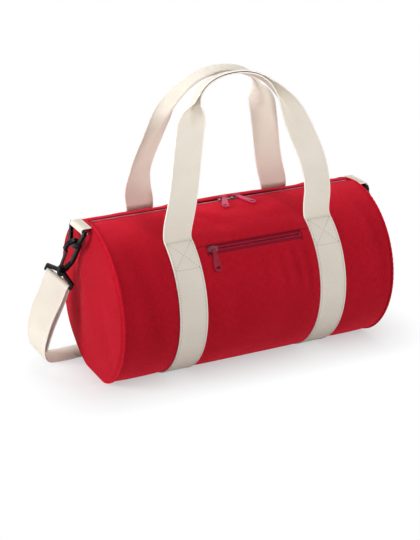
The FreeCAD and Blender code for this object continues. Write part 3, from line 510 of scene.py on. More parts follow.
class Finish(Nodes):
    """A material with one main shader, whose inputs are set by name."""

    def __init__(self, name, values):
        self.material = new_material(name)
        super().__init__(self.material.node_tree)
        self.shader = self.tree.nodes.new("ShaderNodeBsdfPrincipled")
        self.end("ShaderNodeOutputMaterial", "Surface", self.shader.outputs["BSDF"])
        for socket, value in values.items():
            self.set(socket, value)

    def set(self, socket, value):
        self.put(self.shader.inputs[socket], value)

    def flat(self):
        """Place on the flat cloth, and its across and along parts in metres."""
        place = self.add("ShaderNodeUVMap", "UV", {}, uv_map="flat")
        parts = [self.add("ShaderNodeSeparateXYZ", axis, {0: place}) for axis in "XY"]
        return place, *parts

    def solid(self):
        return self.add("ShaderNodeTexCoord", "Object", {})

    def scaled(self, value, factor, more):
        return self.math("MULTIPLY_ADD", value, factor, more)

    def wave(self, place, pitch, phase=0.0):
        return self.math("SINE", self.scaled(place, FULL_TURN / pitch, phase))

    def noise(self, place, scale, detail=2.0, stretch=(1, 1, 1)):
        moved = self.add("ShaderNodeMapping", 0, {"Vector": place, "Scale": stretch})
        inputs = {"Vector": moved, "Scale": scale, "Detail": detail}
        return self.add("ShaderNodeTexNoise", 0, inputs)

    def between(self, value, low, high, start=0.0, end=1.0):
        inputs = {0: value, 1: low, 2: high, 3: start, 4: end}
        return self.add("ShaderNodeMapRange", 0, inputs, interpolation_type="SMOOTHSTEP")

    def bump(self, height, depth, normal=None):
        inputs = {"Height": height, "Distance": depth, "Strength": 1.0, "Normal": normal}
        self.set("Normal", self.add("ShaderNodeBump", 0, inputs))


def rgb(red, green, blue):
    """Screen colour from 0 to 255 as the linear values a shader takes."""
    values = [v / 255 for v in (red, green, blue)]
    return tuple(v / 12.92 if v < 0.04 else ((v + 0.055) / 1.055) ** 2.4 for v in values) + (1.0,)


SATIN = 0.2
FUZZ = 0.9
CANVAS_YARN = 1.3 * MM
FLOAT_ROW = 1.15 * MM
FLOAT_LENGTH = 2.4 * MM
CORDED_EDGE = (18.2 * MM, 19.2 * MM)
ROUNDED_EDGE = 0.6 * MM


def canvas(name, low, high, gloss):
    """Plain-woven cloth: yarns over and under, slubs, slow changes of dye and a satin gloss."""
    made = Finish(name, {
        "Metallic": SATIN, "Specular IOR Level": 0.05, "Specular Tint": gloss,
        "Sheen Weight": FUZZ, "Sheen Roughness": 0.5, "Sheen Tint": gloss,
    })
    place, across, along = made.flat()
    weave = made.math("MULTIPLY", made.wave(across, CANVAS_YARN), made.wave(along, CANVAS_YARN))
    warp = made.noise(place, 1.0, 2.0, (760, 120, 1))
    weft = made.noise(place, 1.0, 2.0, (120, 760, 1))
    slub = made.math("ADD", warp, weft)
    dye = made.noise(place, 22.0, 3.0)
    tone = made.scaled(slub, 0.9, made.scaled(dye, 0.4, -0.6))
    tone = made.scaled(weave, 0.12, tone)
    made.set("Base Color", made.blend(made.between(tone, 0.0, 1.0), low, high))
    made.bump(made.scaled(slub, 0.6, weave), 0.07 * MM)
    made.set("Roughness", made.between(slub, 0.7, 1.3, 0.64, 0.54))
    return made.material


def woven_webbing(name, low, high, edge):
    """Heavy webbing: staggered yarn floats in rows, and paler corded edges."""
    made = Finish(name, {
        "Roughness": 0.9, "Specular IOR Level": 0.2, "Sheen Weight": 0.08, "Sheen Roughness": 0.5,
    })
    place, across, along = made.flat()
    row = made.math("FLOOR", made.math("DIVIDE", across, FLOAT_ROW))
    floats = made.wave(along, FLOAT_LENGTH, made.math("MULTIPLY", row, math.pi))
    ribs = made.math("ABSOLUTE", made.wave(across, 2 * FLOAT_ROW))
    weave = made.scaled(floats, 0.5, ribs)
    fibre = made.noise(place, 1.0, 3.0, (1400, 260, 1))
    soil = made.noise(place, 22.0, 4.0)
    tone = made.scaled(fibre, 0.6, made.scaled(soil, 0.5, -0.1))
    tone = made.scaled(weave, 0.18, tone)
    body = made.blend(made.between(tone, 0.0, 1.0), low, high)
    rim = made.between(made.math("ABSOLUTE", across), *CORDED_EDGE)
    made.set("Base Color", made.blend(rim, body, edge))
    made.bump(made.scaled(fibre, 0.5, weave), 0.14 * MM)
    return made.material


def tape_weave(name, low, high):
    """Narrow zip tape with fine ribs."""
    made = Finish(name, {"Roughness": 0.85, "Specular IOR Level": 0.15})
    place, across, along = made.flat()
    ribs = made.math("MULTIPLY", made.wave(across, 0.9 * MM), made.wave(along, 0.7 * MM))
    tone = made.scaled(ribs, 0.25, made.noise(place, 900.0))
    made.set("Base Color", made.blend(made.between(tone, 0.2, 0.9), low, high))
    made.bump(tone, 0.06 * MM)
    return made.material


def thread(name, low, high):
    """Twisted sewing thread."""
    made = Finish(name, {"Roughness": 0.8, "Specular IOR Level": 0.2})
    twist = made.noise(made.solid(), 2600.0)
    made.set("Base Color", made.blend(made.between(twist, 0.3, 0.7), low, high))
    made.bump(twist, 0.05 * MM)
    return made.material


def moulded(name, low, high, edge, roughness, grain, specular=0.5, coat=0.0):
    """Moulded or painted fitting: fine grain, handling marks, and an edge colour laid in patches
    on the rounded edges, as painted highlight where it is lighter and painted shade where it is
    darker.
    """
    made = Finish(name, {
        "Specular IOR Level": specular, "Coat Weight": coat, "Coat Roughness": 0.2,
    })
    place = made.solid()
    rounded = made.add("ShaderNodeBevel", 0, {"Radius": ROUNDED_EDGE}, samples=6)
    facing = made.add("ShaderNodeNewGeometry", "Normal", {})
    inputs = {0: rounded, 1: facing}
    same = made.add("ShaderNodeVectorMath", "Value", inputs, operation="DOT_PRODUCT")
    marks = made.noise(place, 160.0, 4.0)
    body = made.blend(made.between(marks, 0.3, 0.7), low, high)
    # Painted highlight and shade on the rounded edges, laid in random patches: a lighter edge
    # colour paints highlights there, a darker one paints shade.
    edge_patches = made.between(made.noise(place, 420.0), 0.25, 0.65)
    painted_edge_mask = made.math("MULTIPLY", made.between(same, 0.995, 0.8), edge_patches)
    made.set("Base Color", made.blend(painted_edge_mask, body, edge))
    rough = made.between(marks, 0.25, 0.75, roughness - 0.08, roughness + 0.12)
    made.set("Roughness", rough)
    made.bump(made.noise(place, grain), 0.03 * MM, rounded)
    return made.material


red_canvas = canvas("red_canvas", rgb(150, 18, 31), rgb(180, 24, 40), rgb(255, 44, 70))
# Painted highlight: the rolled seam edge is the same red canvas made lighter, for the light its
# ridge catches.
red_welt = canvas("red_welt", rgb(164, 20, 34), rgb(194, 26, 44), rgb(255, 50, 76))
cream_webbing = woven_webbing(
    "cream_webbing", rgb(218, 208, 193), rgb(240, 233, 221), rgb(246, 241, 232)
)
crimson_tape = tape_weave("crimson_tape", rgb(108, 8, 28), rgb(152, 14, 44))
binding_tape = tape_weave("binding_tape", rgb(120, 14, 28), rgb(166, 22, 42))
red_thread = thread("red_thread", rgb(136, 12, 26), rgb(200, 32, 52))
# Dark thread for the pocket's bar tacks, also used for the painted shadow line under the pocket
# seam.
dark_thread = thread("dark_thread", rgb(62, 4, 14), rgb(98, 8, 24))
cream_thread = thread("cream_thread", rgb(176, 163, 142), rgb(204, 193, 174))
# Darker, lighter and edge colours, then roughness, grain, gloss and coat. The edge colours are
# painted light: painted highlights on the teeth, coil, sliders and black mouldings, painted shade
# on the pullers' paints.
MOULDED = {
    # Painted highlight: the main zip's front row is coloured pale for the highlights its teeth
    # catch, while the rear row keeps the crimson coil colour.
    "pale_teeth": ((255, 130, 156), (255, 176, 194), (255, 210, 220), 0.5, 900.0),
    "crimson_coil": ((140, 10, 38), (184, 22, 60), (210, 60, 92), 0.5, 900.0, 0.2),
    "pink_paint": ((172, 34, 70), (200, 58, 96), (116, 20, 48), 0.42, 1400.0, 0.25, 0.08),
    # Painted shade: a darker copy of the pink paint, for the pocket puller that lies in shade,
    # with darker edges too.
    "crimson_paint": ((122, 10, 36), (150, 20, 50), (90, 10, 32), 0.42, 1400.0, 0.25, 0.08),
    "slider_paint": ((64, 8, 24), (104, 18, 42), (232, 170, 186), 0.28, 1400.0, 0.5, 0.4),
    "black_moulding": ((5, 5, 6), (11, 11, 12), (22, 22, 24), 0.27, 1800.0, 0.16),
}
mouldings = {
    name: moulded(name, *[rgb(*colour) for colour in row[:3]], *row[3:])
    for name, row in MOULDED.items()
}


# Repeated pieces: stitches and zip teeth are set on points that carry two directions
BEAD_SOCKETS = {
    "Places": "Geometry", "Length": "Float", "Width": "Float", "Height": "Float",
    "Finish": "Material",
}
CORD_SOCKETS = {
    "Cord Finish": "Material", "Cord Start": "Vector", "Cord End": "Vector",
    "Cord Radius": "Float",
}
BEAD = {"Segments": 8, "Rings": 5, "Radius": 0.5}
CORD_SIDES = 10


class Repeat(Nodes):
    """A geometry tree with named inputs that sets a rounded bead on each place."""

    def __init__(self, name, sockets):
        super().__init__(bpy.data.node_groups.new(name, "GeometryNodeTree"))
        for socket, kind in sockets.items():
            self.new_socket(socket, "INPUT", kind)
        self.new_socket("Made", "OUTPUT", "Geometry")
        self.given = self.tree.nodes.new("NodeGroupInput").outputs

    def new_socket(self, name, way, kind):
        kind = "NodeSocket" + kind
        self.tree.interface.new_socket(name=name, in_out=way, socket_type=kind)

    def geometry(self, kind, inputs):
        return self.add("GeometryNode" + kind, 0, inputs)

    def direction(self, name):
        kind = "GeometryNodeInputNamedAttribute"
        return self.add(kind, "Attribute", {"Name": name}, data_type="FLOAT_VECTOR")

    def coloured(self, geometry, finish):
        soft = self.geometry("SetShadeSmooth", {"Geometry": geometry})
        inputs = {"Geometry": soft, "Material": self.given[finish]}
        return self.geometry("SetMaterial", inputs)

    def beads(self):
        """Beads turned to the run and out directions of their places."""
        given = self.given
        axes = {"Primary Axis": self.direction("run"), "Secondary Axis": self.direction("out")}
        turn = self.add(
            "FunctionNodeAxesToRotation", 0, axes, primary_axis="X", secondary_axis="Z"
        )
        sizes = {"X": given["Length"], "Y": given["Width"], "Z": given["Height"]}
        size = self.add("ShaderNodeCombineXYZ", 0, sizes)
        bead = self.geometry("MeshUVSphere", BEAD)
        shaped = self.geometry("Transform", {"Geometry": bead, "Scale": size})
        inputs = {"Points": given["Places"], "Instance": shaped, "Rotation": turn}
        placed = self.geometry("InstanceOnPoints", inputs)
        real = self.geometry("RealizeInstances", {"Geometry": placed})
        return self.coloured(real, "Finish")

    def cord(self):
        """The round cord that a row of teeth is moulded on."""
        ends = {"Start": self.given["Cord Start"], "End": self.given["Cord End"]}
        line = self.geometry("CurvePrimitiveLine", ends)
        inputs = {"Resolution": CORD_SIDES, "Radius": self.given["Cord Radius"]}
        rim = self.geometry("CurvePrimitiveCircle", inputs)
        inputs = {"Curve": line, "Profile Curve": rim, "Fill Caps": True}
        return self.coloured(self.geometry("CurveToMesh", inputs), "Cord Finish")

    def done(self, geometry):
        self.end("NodeGroupOutput", "Made", geometry)
        return self.tree


stitch = Repeat("sewn_stitches", BEAD_SOCKETS)
STITCHES = stitch.done(stitch.beads())
tooth = Repeat("zip_row", BEAD_SOCKETS | CORD_SOCKETS)
TEETH = tooth.done(tooth.geometry("JoinGeometry", {"Geometry": [tooth.beads(), tooth.cord()]}))


def set_out(name, tree, places, runs, outs, values):
    """Runs a tree on places with their directions and keeps the result as a plain mesh."""
    mesh = bpy.data.meshes.new(name)
    mesh.from_pydata(places.tolist(), [], [])
    for attribute, vectors in (("run", runs), ("out", outs)):
        layer = mesh.attributes.new(attribute, "FLOAT_VECTOR", "POINT")
        layer.data.foreach_set("vector", np.asarray(vectors, np.float32).ravel())
    thing = link(name, mesh, values["Finish"])
    modifier = thing.modifiers.new("made", "NODES")
    modifier.node_group = tree
    for item in tree.interface.items_tree:
        if item.in_out == "INPUT" and item.name in values:
            modifier[item.identifier] = values[item.name]
    graph = bpy.context.evaluated_depsgraph_get()
    plain = bpy.data.meshes.new_from_object(thing.evaluated_get(graph), depsgraph=graph)
    thing.modifiers.clear()
    thing.data = plain
    return thing


STITCH_PITCH = 3.8 * MM
LINE_STEP = 1.5 * MM


def on_barrel(flat_points, lift_of):
    """A line drawn on the flat cloth, laid on the barrel with its outward directions."""
    flat_points = np.asarray(flat_points, float)
    reach = along_line(flat_points)
    places = np.linspace(0, reach[-1], max(int(reach[-1] / LINE_STEP), 2))
    x, s = read_along(flat_points, reach, places).T
    return barrel(x, s, lift_of(x, s))


class Sewing:
    """Stitches gathered from several lines, made into one piece."""

    def __init__(self):
        self.places, self.runs, self.outs = [], [], []

    def line(self, points, outs, pitch=STITCH_PITCH):
        """Even stitches along a line of points on a surface."""
        reach = along_line(points)
        count = max(int(reach[-1] / pitch), 1)
        places = (np.arange(count) + 0.5) * reach[-1] / count
        ahead = read_along(points, reach, places + pitch / 3)
        behind = read_along(points, reach, places - pitch / 3)
        self.places.append(read_along(points, reach, places))
        self.runs.append(unit(ahead - behind))
        self.outs.append(unit(read_along(outs, reach, places)))

    def drawn(self, flat_points, lift_of, pitch=STITCH_PITCH):
        """Stitches along a line drawn on the flat cloth."""
        self.line(*on_barrel(flat_points, lift_of), pitch)

    def level(self, place, lift_of, ends=(-SEAM_HALF, SEAM_HALF), pitch=STITCH_PITCH):
        """Stitches along the bag at one place round it."""
        self.drawn([(x, place) for x in ends], lift_of, pitch)

    def make(self, name, slot, finish, length=2.3 * MM, width=1.0 * MM, height=0.6 * MM):
        values = {"Length": length, "Width": width, "Height": height, "Finish": finish}
        rows = [np.concatenate(rows) for rows in (self.places, self.runs, self.outs)]
        worn(set_out(name, STITCHES, *rows, values), slot)


def stands_for(piece, slot, *nodes):
    """Hides the CAD nodes that a piece stands for; the piece and the slot are not used."""
    if nodes:
        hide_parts(*nodes)


def worn(piece, slot, *nodes):
    """The same for a piece that rides on the bag's own body."""
    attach(piece, "bag")
    stands_for(piece, slot, *nodes)


# Barrel cloth, from the front lip of the zip round under the bag to the rear lip
BARREL_STEP = 2.8 * MM
BARREL_COLUMNS = 150
LIP_STEPS = np.array([0, 0.5, 1.2, 2.2]) * MM
LIP_ROUND = 0.7 * MM
LIP_DROP = 0.35 * MM
LIP_THINNING = 0.3 * MM
LIP_FADE = (0, 26 * MM)
BARREL_INSET = 0.6 * MM
# Size, rate and phase of the lips' waves, and the sliders' place that they keep clear of
LIP_WAVES = ((0.9, 34, 0.8), (0.7, 61, 0))
SLIDER_PLACE = 9 * MM
SLIDER_CLEAR = (24 * MM, 60 * MM)
SEAM_GRID = (arc(POCKET_TOP_ANGLE - 2.4), arc(POCKET_TOP_ANGLE + 1.6), 0.6 * MM)


def barrel_places():
    """Places round the barrel, closer together at the zip lips and the pocket seam."""
    front, rear = ZIP_PLACE + ZIP_LIP, GIRTH + ZIP_PLACE - ZIP_LIP
    seam = np.arange(*SEAM_GRID)
    first = np.arange(front + 4 * MM, seam[0] - 1 * MM, BARREL_STEP)
    second = np.arange(seam[-1] + 2 * MM, rear - 4 * MM, BARREL_STEP)
    return np.concatenate([front + LIP_STEPS, first, seam, second, rear - LIP_STEPS[::-1]])


def barrel_face(x, s):
    return cloth_lift(x, s) + seam_lift(x, s)


def lip_wave(x, side):
    """How far a cloth lip wanders off from its side of the zip, clear of the sliders' way."""
    waves = sum(size * np.sin(x * rate + phase) for size, rate, phase in LIP_WAVES)
    waves = waves * smooth(np.abs(x - SLIDER_PLACE), *SLIDER_CLEAR)
    waves = waves * smooth(HALF_LENGTH - np.abs(x), *END_FADE)
    return LIP_WANDER * side * np.maximum(side * waves, 0)


barrel_end = HALF_LENGTH - BARREL_INSET
barrel_x = np.linspace(-barrel_end, barrel_end, BARREL_COLUMNS)
barrel_s = barrel_places()
grid_x, grid_s = np.meshgrid(barrel_x, barrel_s, indexing="ij")
lip = np.minimum(grid_s - barrel_s[0], barrel_s[-1] - grid_s)
lip_side = np.where(grid_s < HALF_GIRTH, 1, -1)
grid_s = grid_s + lip_wave(grid_x, lip_side) * (1 - smooth(lip, *LIP_FADE))
rounding = bell(lip, 0, LIP_ROUND)
grid_lift = barrel_face(grid_x, grid_s) - LIP_DROP * rounding
underside = grid_lift - CLOTH + LIP_THINNING * rounding
barrel_cloth = laid("barrel_cloth", grid_x, grid_s, grid_lift, underside, red_canvas)
worn(barrel_cloth, "body_cloth", "barrel_panel")

# End panels, a little domed, with soft folds hanging from the ring tab: place across, width,
# height, spread and rise in mm
END_FOLDS = (
    (36, 15, 96, 50, -2.6), (72, 14, 84, 44, 0.8), (-6, 15, 90, 46, 1.1), (-54, 13, 84, 44, -2.0),
)
END_FOLD_SLANT = 0.28
END_FOLLOW = 0.6
END_PULL = 0.35 * MM
RIM_DROP = 2.8 * MM
DOME_RADIUS = (RADIUS**2 + END_DOME**2) / (2 * END_DOME)
WELT_STITCH = 7 * MM
END_PLACES = 180
END_INSET = 0.5 * MM
# Shares of the way from the middle of an end to its rim
END_SHARES = np.concatenate([np.linspace(0.02, 0.94, 34), [0.955, 0.97, 0.982, 0.992, 1.0]])
FOLD_RIM_FADE = (0, 0.12)
END_PULL_BAND = (0.95, 0.06)
END_PULL_RATES = (72, 17)
RIM_SHARES = (0.95, 1.0)
POLE_RISE = 0.02 * MM
WELT_PLACES = 440
WELT_SIDES = 12
WELT_DRAW = 0.16 * MM
WELT_CHANGE = 31
WELT_LOWEST = -0.9 * MM
WELT_INSET = 0.1 * MM
WELT_FLOOR_INSET = 0.3 * MM


def round_places(count):
    """Even places all the way round the barrel."""
    return np.linspace(-HALF_GIRTH, HALF_GIRTH, count + 1)[:-1]


def end_lift(side, places):
    """How far the ends' edges follow the barrel cloth."""
    return cloth_lift(side * HALF_LENGTH, places) * END_FOLLOW


def end_panel(name, side):
    """Domed cloth with two faces, closed at its middle and its rim."""
    places = round_places(END_PLACES)
    rim = barrel(0, places, end_lift(side, places) - END_INSET)[0]
    middle = np.array([0, 0, AXIS])
    points = middle + END_SHARES[:, None, None] * (rim - middle)[None]
    y, z = points[..., 1], points[..., 2]
    out = END_RIM + END_DOME - DOME_RADIUS + np.sqrt(DOME_RADIUS**2 - y**2 - (z - AXIS) ** 2)
    inward = smooth(1 - END_SHARES, *FOLD_RIM_FADE)[:, None]
    for row in END_FOLDS:
        across, width, height, spread, rise = np.array(row) * MM
        fold = bell(y, across + END_FOLD_SLANT * (z - AXIS), width) * bell(z, height, spread)
        out = out + rise * inward * fold
    fast, slow = END_PULL_RATES
    pull = np.sin(places * fast) * np.sin(places * slow + side)
    out = out + END_PULL * pull * bell(END_SHARES, *END_PULL_BAND)[:, None]
    points[..., 0] = side * (out - RIM_DROP * smooth(END_SHARES, *RIM_SHARES)[:, None])
    through = np.array([side * CLOTH, 0, 0])
    centre = points[0].mean(0) + np.array([side * POLE_RISE, 0, 0])
    outer = points.reshape(-1, 3)
    vertices = np.concatenate([outer, outer - through, [centre, centre - through]])
    numbers = numbered(*points.shape[:2], closed=True)
    under, pole = len(outer), 2 * len(outer)
    grid = squares(numbers).reshape(-1, 4)
    faces = grid.tolist() + (grid[:, ::-1] + under).tolist()
    first, last = numbers[0].tolist(), numbers[-1].tolist()
    for a, b, c, d in zip(first, first[1:], last, last[1:]):
        faces += [(c, d, d + under, c + under), (b, a, pole), (a + under, b + under, pole + 1)]
    return cloth_mesh(name, vertices, faces, vertices[:, 1:3], red_canvas)


def end_welt(name, side):
    """The rolled seam edge, drawn in and out a little by its stitches."""
    places = round_places(WELT_PLACES)
    turns = np.linspace(0, FULL_TURN, WELT_SIDES + 1)[:-1]
    drawn = np.sin(places * FULL_TURN / WELT_STITCH) * np.sin(places * WELT_CHANGE)
    size = (WELT + WELT_DRAW * drawn)[:, None]
    lift = np.maximum(end_lift(side, places), WELT_LOWEST) - WELT_INSET
    lift = lift - WELT_FLOOR_INSET * smooth(np.abs(places), *SAG_FADE)
    x = side * HALF_LENGTH + size * np.cos(turns)
    rings = barrel(x, places[:, None], lift[:, None] + size * np.sin(turns))[0]
    flat = np.stack(np.broadcast_arrays(turns[None] * WELT, places[:, None]), -1)
    return tube(name, rings, flat, red_welt, closed=True)


for side, word in ENDS:
    panel = end_panel(word + "_end_cloth", side)
    worn(panel, "body_cloth", word + "_end_panel")
    worn(end_welt(word + "_end_roll", side), "body_cloth", word + "_end_welt")


# Pocket panel with its zip opening, tucked under the bands and the seam above
POCKET_STEP = 2.2 * MM
POCKET_WEAVE = 0.5
EDGE_CLEAR = 2.8 * MM
POCKET_START = arc(POCKET_TOP_ANGLE - 1.2)
POCKET_THINNING = 0.55
THINNING_FADE = (74 * MM, 86 * MM)
POCKET_FOLLOW = 0.5
EDGE_STEPS = (-2.2, -1.0, -0.4, 0, 0.4, 1.0, 2.2)


def pocket_places(low, high, marks):
    """Even places between two ends, with closer ones beside the marked edges."""
    places = np.arange(low, high, POCKET_STEP)
    for mark in marks:
        places = places[np.abs(places - mark) > EDGE_CLEAR]
    near = [mark + offset * MM for mark in marks for offset in EDGE_STEPS]
    places = np.concatenate([places, near, [low, high]])
    return np.unique(np.round(places[(places >= low) & (places <= high)], 7))


def in_window(x):
    return (x > POCKET_ZIP_ENDS[0]) & (x < POCKET_ZIP_ENDS[1])


def pocket_face(x, s):
    return pocket_lift(x, s) + cloth_lift(x, s) * POCKET_FOLLOW


pocket_x = pocket_places(-POCKET_EDGE, POCKET_EDGE, POCKET_ZIP_ENDS)
pocket_s = pocket_places(POCKET_START, POCKET_BOTTOM, (WINDOW_LOW,))
grid_x, grid_s = np.meshgrid(pocket_x, pocket_s, indexing="ij")
middle_x, middle_s = (pocket_x[1:] + pocket_x[:-1]) / 2, (pocket_s[1:] + pocket_s[:-1]) / 2
opening = in_window(middle_x)[:, None] & (middle_s < WINDOW_LOW)[None]
grid_lift = pocket_face(grid_x, grid_s)
thinning = POCKET_THINNING * smooth(np.abs(grid_x), *THINNING_FADE)
underside = grid_lift - CLOTH * (1 - thinning)
pocket_cloth = laid(
    "pocket_cloth", grid_x, grid_s, grid_lift, underside, red_canvas, ~opening, POCKET_WEAVE
)
worn(pocket_cloth, "body_cloth", "pocket_panel")

# Zip tapes and seam bindings lie under the cloth
STRIP_STEPS = (5 * MM, 2.5 * MM)
TOOTH_ROOT = 0.9 * MM
TOOTH_OVERLAP = 0.4 * MM
POCKET_TAPE_MORE = 2 * MM
POCKET_CHAIN_LESS = 2.6 * MM
BINDING_ENDS = (188.5 * MM, 198 * MM)
BINDING_OFFSET = -2.6 * MM
BINDING = 1.4 * MM
BINDING_GAP = 16 * MM


def strip(name, x_ends, s_ends, offset, thickness, finish):
    """Narrow woven tape on the barrel between two ends and two edges."""
    x = np.linspace(*x_ends, max(int((x_ends[1] - x_ends[0]) / STRIP_STEPS[0]), 2))
    s = np.linspace(*s_ends, max(int(abs(s_ends[1] - s_ends[0]) / STRIP_STEPS[1]), 4))
    top, bottom = offset + thickness / 2, offset - thickness / 2
    return laid(name, *np.meshgrid(x, s, indexing="ij"), top, bottom, finish)


def zip_row(name, side, share, place, offset, ends, finish):
    """One row of teeth on its cord, beside the middle of a zip."""
    pitch = TOOTH_PITCH * share
    count = int((ends[1] - ends[0]) / pitch) - 1
    start = (ends[0] + ends[1]) / 2 - (count - 1) * pitch / 2
    x = start + np.arange(count) * pitch + side * pitch / 4
    middle, out = barrel(0, place, offset)
    across = np.cross([1, 0, 0], out) * side
    reach = (CHAIN_HALF - TOOTH_REACH / 2 - TOOTH_ROOT) * share
    points = middle + across * reach + x[:, None] * np.array([1, 0, 0])
    edge = Vector(middle + across * (CHAIN_HALF - CORD_RADIUS) * share)
    values = {
        "Length": (TOOTH_REACH + TOOTH_OVERLAP) * share,
        "Width": pitch / 2,
        "Height": TOOTH_HEIGHT * share,
        "Finish": mouldings[finish],
        "Cord Finish": mouldings["crimson_coil"],
        "Cord Start": edge + Vector((ends[0], 0, 0)),
        "Cord End": edge + Vector((ends[1], 0, 0)),
        "Cord Radius": CORD_RADIUS * share,
    }
    runs, outs = (np.tile(direction, (count, 1)) for direction in (across, out))
    return set_out(name, TEETH, points, runs, outs, values)


def pocket_ends(more):
    """Ends of the pocket zip's opening, moved out by some more."""
    return POCKET_ZIP_ENDS[0] - more, POCKET_ZIP_ENDS[1] + more


POCKET_TAPE_HALF = TAPE_HALF * 0.9
# The main zip's front row takes the pale teeth that paint the coil's highlights; the rear row and
# the pocket rows keep the crimson coil.
for side, word, pocket_word, teeth in (
    (1, "front", "lower", "pale_teeth"), (-1, "rear", "upper", "crimson_coil"),
):
    edges = (ZIP_PLACE + side * TAPE_START, ZIP_PLACE + side * TAPE_HALF)
    ends = (-ZIP_END, ZIP_END)
    tape = strip(word + "_main_tape", ends, edges, ZIP_OFFSET, TAPE, crimson_tape)
    worn(tape, "zip_tape", word + "_zip_tape")
    ends = (-CHAIN_END, CHAIN_END)
    row = zip_row(word + "_main_teeth", -side, 1, ZIP_PLACE, ZIP_OFFSET, ends, teeth)
    worn(row, "zip_coil", word + "_zip_coil")
    edges = [
        POCKET_ZIP_PLACE + side * POCKET_ZIP_SHARE * out for out in (TAPE_START, POCKET_TAPE_HALF)
    ]
    tape = strip(
        pocket_word + "_pocket_strip", pocket_ends(POCKET_TAPE_MORE), edges, POCKET_ZIP_OFFSET,
        TAPE * POCKET_ZIP_SHARE, crimson_tape,
    )
    worn(tape, "zip_tape", pocket_word + "_pocket_tape")
    row = zip_row(
        pocket_word + "_pocket_teeth", -side, POCKET_ZIP_SHARE, POCKET_ZIP_PLACE,
        POCKET_ZIP_OFFSET, pocket_ends(-POCKET_CHAIN_LESS), "crimson_coil",
    )
    worn(row, "zip_coil", pocket_word + "_pocket_coil")

for side, word in ENDS:
    ends = [side * end for end in BINDING_ENDS]
    edges = (ZIP_PLACE + BINDING_GAP, GIRTH + ZIP_PLACE - BINDING_GAP)
    binding = strip(word + "_binding_tape", ends, edges, BINDING_OFFSET, BINDING, binding_tape)
    worn(binding, "zip_tape", word + "_seam_binding")


# Webbing. Half of its section: distance from the edge in mm and share of half the thickness
SELVEDGE = (
    (0, 0), (0.25, 0.62), (0.8, 0.97), (1.9, 1.0), (2.7, 0.82), (6, 0.87), (12, 0.92), (20, 0.93),
)
# The same for a webbing that folds along its middle
FOLDING = SELVEDGE[:-1] + tuple((d, 0.93) for d in (15, 16.6, 17.5, 18.2, 18.8, 19.4, 20))


def webbing_section(half):
    """Across and out places round a webbing's section, with corded edges."""
    left = [(d * MM - WEBBING_WIDTH / 2, share * WEBBING / 2) for d, share in half]
    top = left + [(-across, out) for across, out in reversed(left[:-1])]
    bottom = [(across, -out) for across, out in reversed(top[1:-1])]
    return np.array(top + bottom)


SECTION = webbing_section(SELVEDGE)
GRIP_SECTION = webbing_section(FOLDING)


def webbing(name, rings, section, lengths):
    """Webbing from rings of a section, each at its length along the webbing."""
    flat = np.stack(np.broadcast_arrays(section[None, :, 0], lengths[:, None]), -1)
    return tube(name, rings, flat, cream_webbing)


def ribbon(name, centres, acrosses):
    """Webbing along a line of centres, each with its width direction."""
    tangents = tangents_of(centres)
    acrosses = squared(acrosses, tangents)
    outs = np.cross(acrosses, tangents)
    rings = centres[:, None] + acrosses[:, None] * SECTION[:, :1] + outs[:, None] * SECTION[:, 1:]
    return webbing(name, rings, SECTION, along_line(centres))


# Bands round the barrel
BAND_ROWS = 230


def band_face(x, s):
    return cloth_lift(x, s) + WEBBING


def band(name, middle):
    places = np.linspace(arc(BAND_TOP_ANGLE), GIRTH - arc(BAND_TOP_ANGLE), BAND_ROWS)
    x, s = middle + SECTION[None, :, 0], places[:, None]
    rings = barrel(x, s, cloth_lift(x, s) + WEBBING / 2 + SECTION[None, :, 1])[0]
    return webbing(name, rings, SECTION, places)


for side, word in ENDS:
    worn(band(word + "_band_webbing", side * BAND_PLACE), "webbing", word + "_band")

# Handles: each comes off its bands at the fold, and its grip is folded in half lengthwise
GRIP_BEND = (WEBBING + GRIP_GAP) / 2 * math.pi / 2
GRIP_WIDTH = WEBBING_WIDTH / 2 - WEBBING - GRIP_GAP / 2
REAR_ROLL = math.radians(-20)
FOLD_POINT = barrel(0, arc(FOLD_ANGLE), WEBBING + SEAT)[0]
TOP_INSET = GRIP_WIDTH / 2 + WEBBING + HANDLE_TOP_GAP
HANDLE_LEAN = math.asin((-FOLD_POINT[1] - TOP_INSET) / HANDLE_REACH)
HANDLE_ROOT = 30 * MM
SEWN_ANGLES = (BAND_TOP_ANGLE, BAND_TOP_ANGLE - 1.2, FOLD_ANGLE + 0.9)
ROOT_ROWS, FREE_ROWS = 24, 230
LEAST_FOLD = 0.0001
# Places of the rolled leg, measured from the handle's end
LEG_START = (-200 * MM, -120 * MM)
LEG_STOP = (-75 * MM, -30 * MM)


def leaned(points):
    """From the upright handle to its place on the front of the bag."""
    return points @ np.array(Matrix.Rotation(-HANDLE_LEAN, 3, "X")).T


def handle_line():
    """Centres and fold shares of the front handle, from band to band."""
    along, up, fold = np.array(HANDLE_SHARES).T
    local = [along * BAND_PLACE, np.full(len(up), WEBBING / 2), up * HANDLE_REACH]
    free = leaned(np.stack(local, 1)) + FOLD_POINT
    sewn = RADIUS * np.radians(SEWN_ANGLES)
    left = barrel(-BAND_PLACE, sewn, cloth_lift(-BAND_PLACE, sewn) + WEBBING / 2)[0]
    right = left * np.array([-1, 1, 1])
    centres = np.concatenate([left, free, right[::-1]])
    folded = np.concatenate([np.zeros(3), fold, np.zeros(3)])
    reach = along_line(centres)
    end = reach[-1]
    places = np.concatenate([
        np.linspace(0, HANDLE_ROOT, ROOT_ROWS),
        np.linspace(HANDLE_ROOT, end - HANDLE_ROOT, FREE_ROWS)[1:-1],
        np.linspace(end - HANDLE_ROOT, end, ROOT_ROWS),
    ])
    return spline(reach, centres, places), np.clip(np.interp(places, reach, folded), 0, 1)


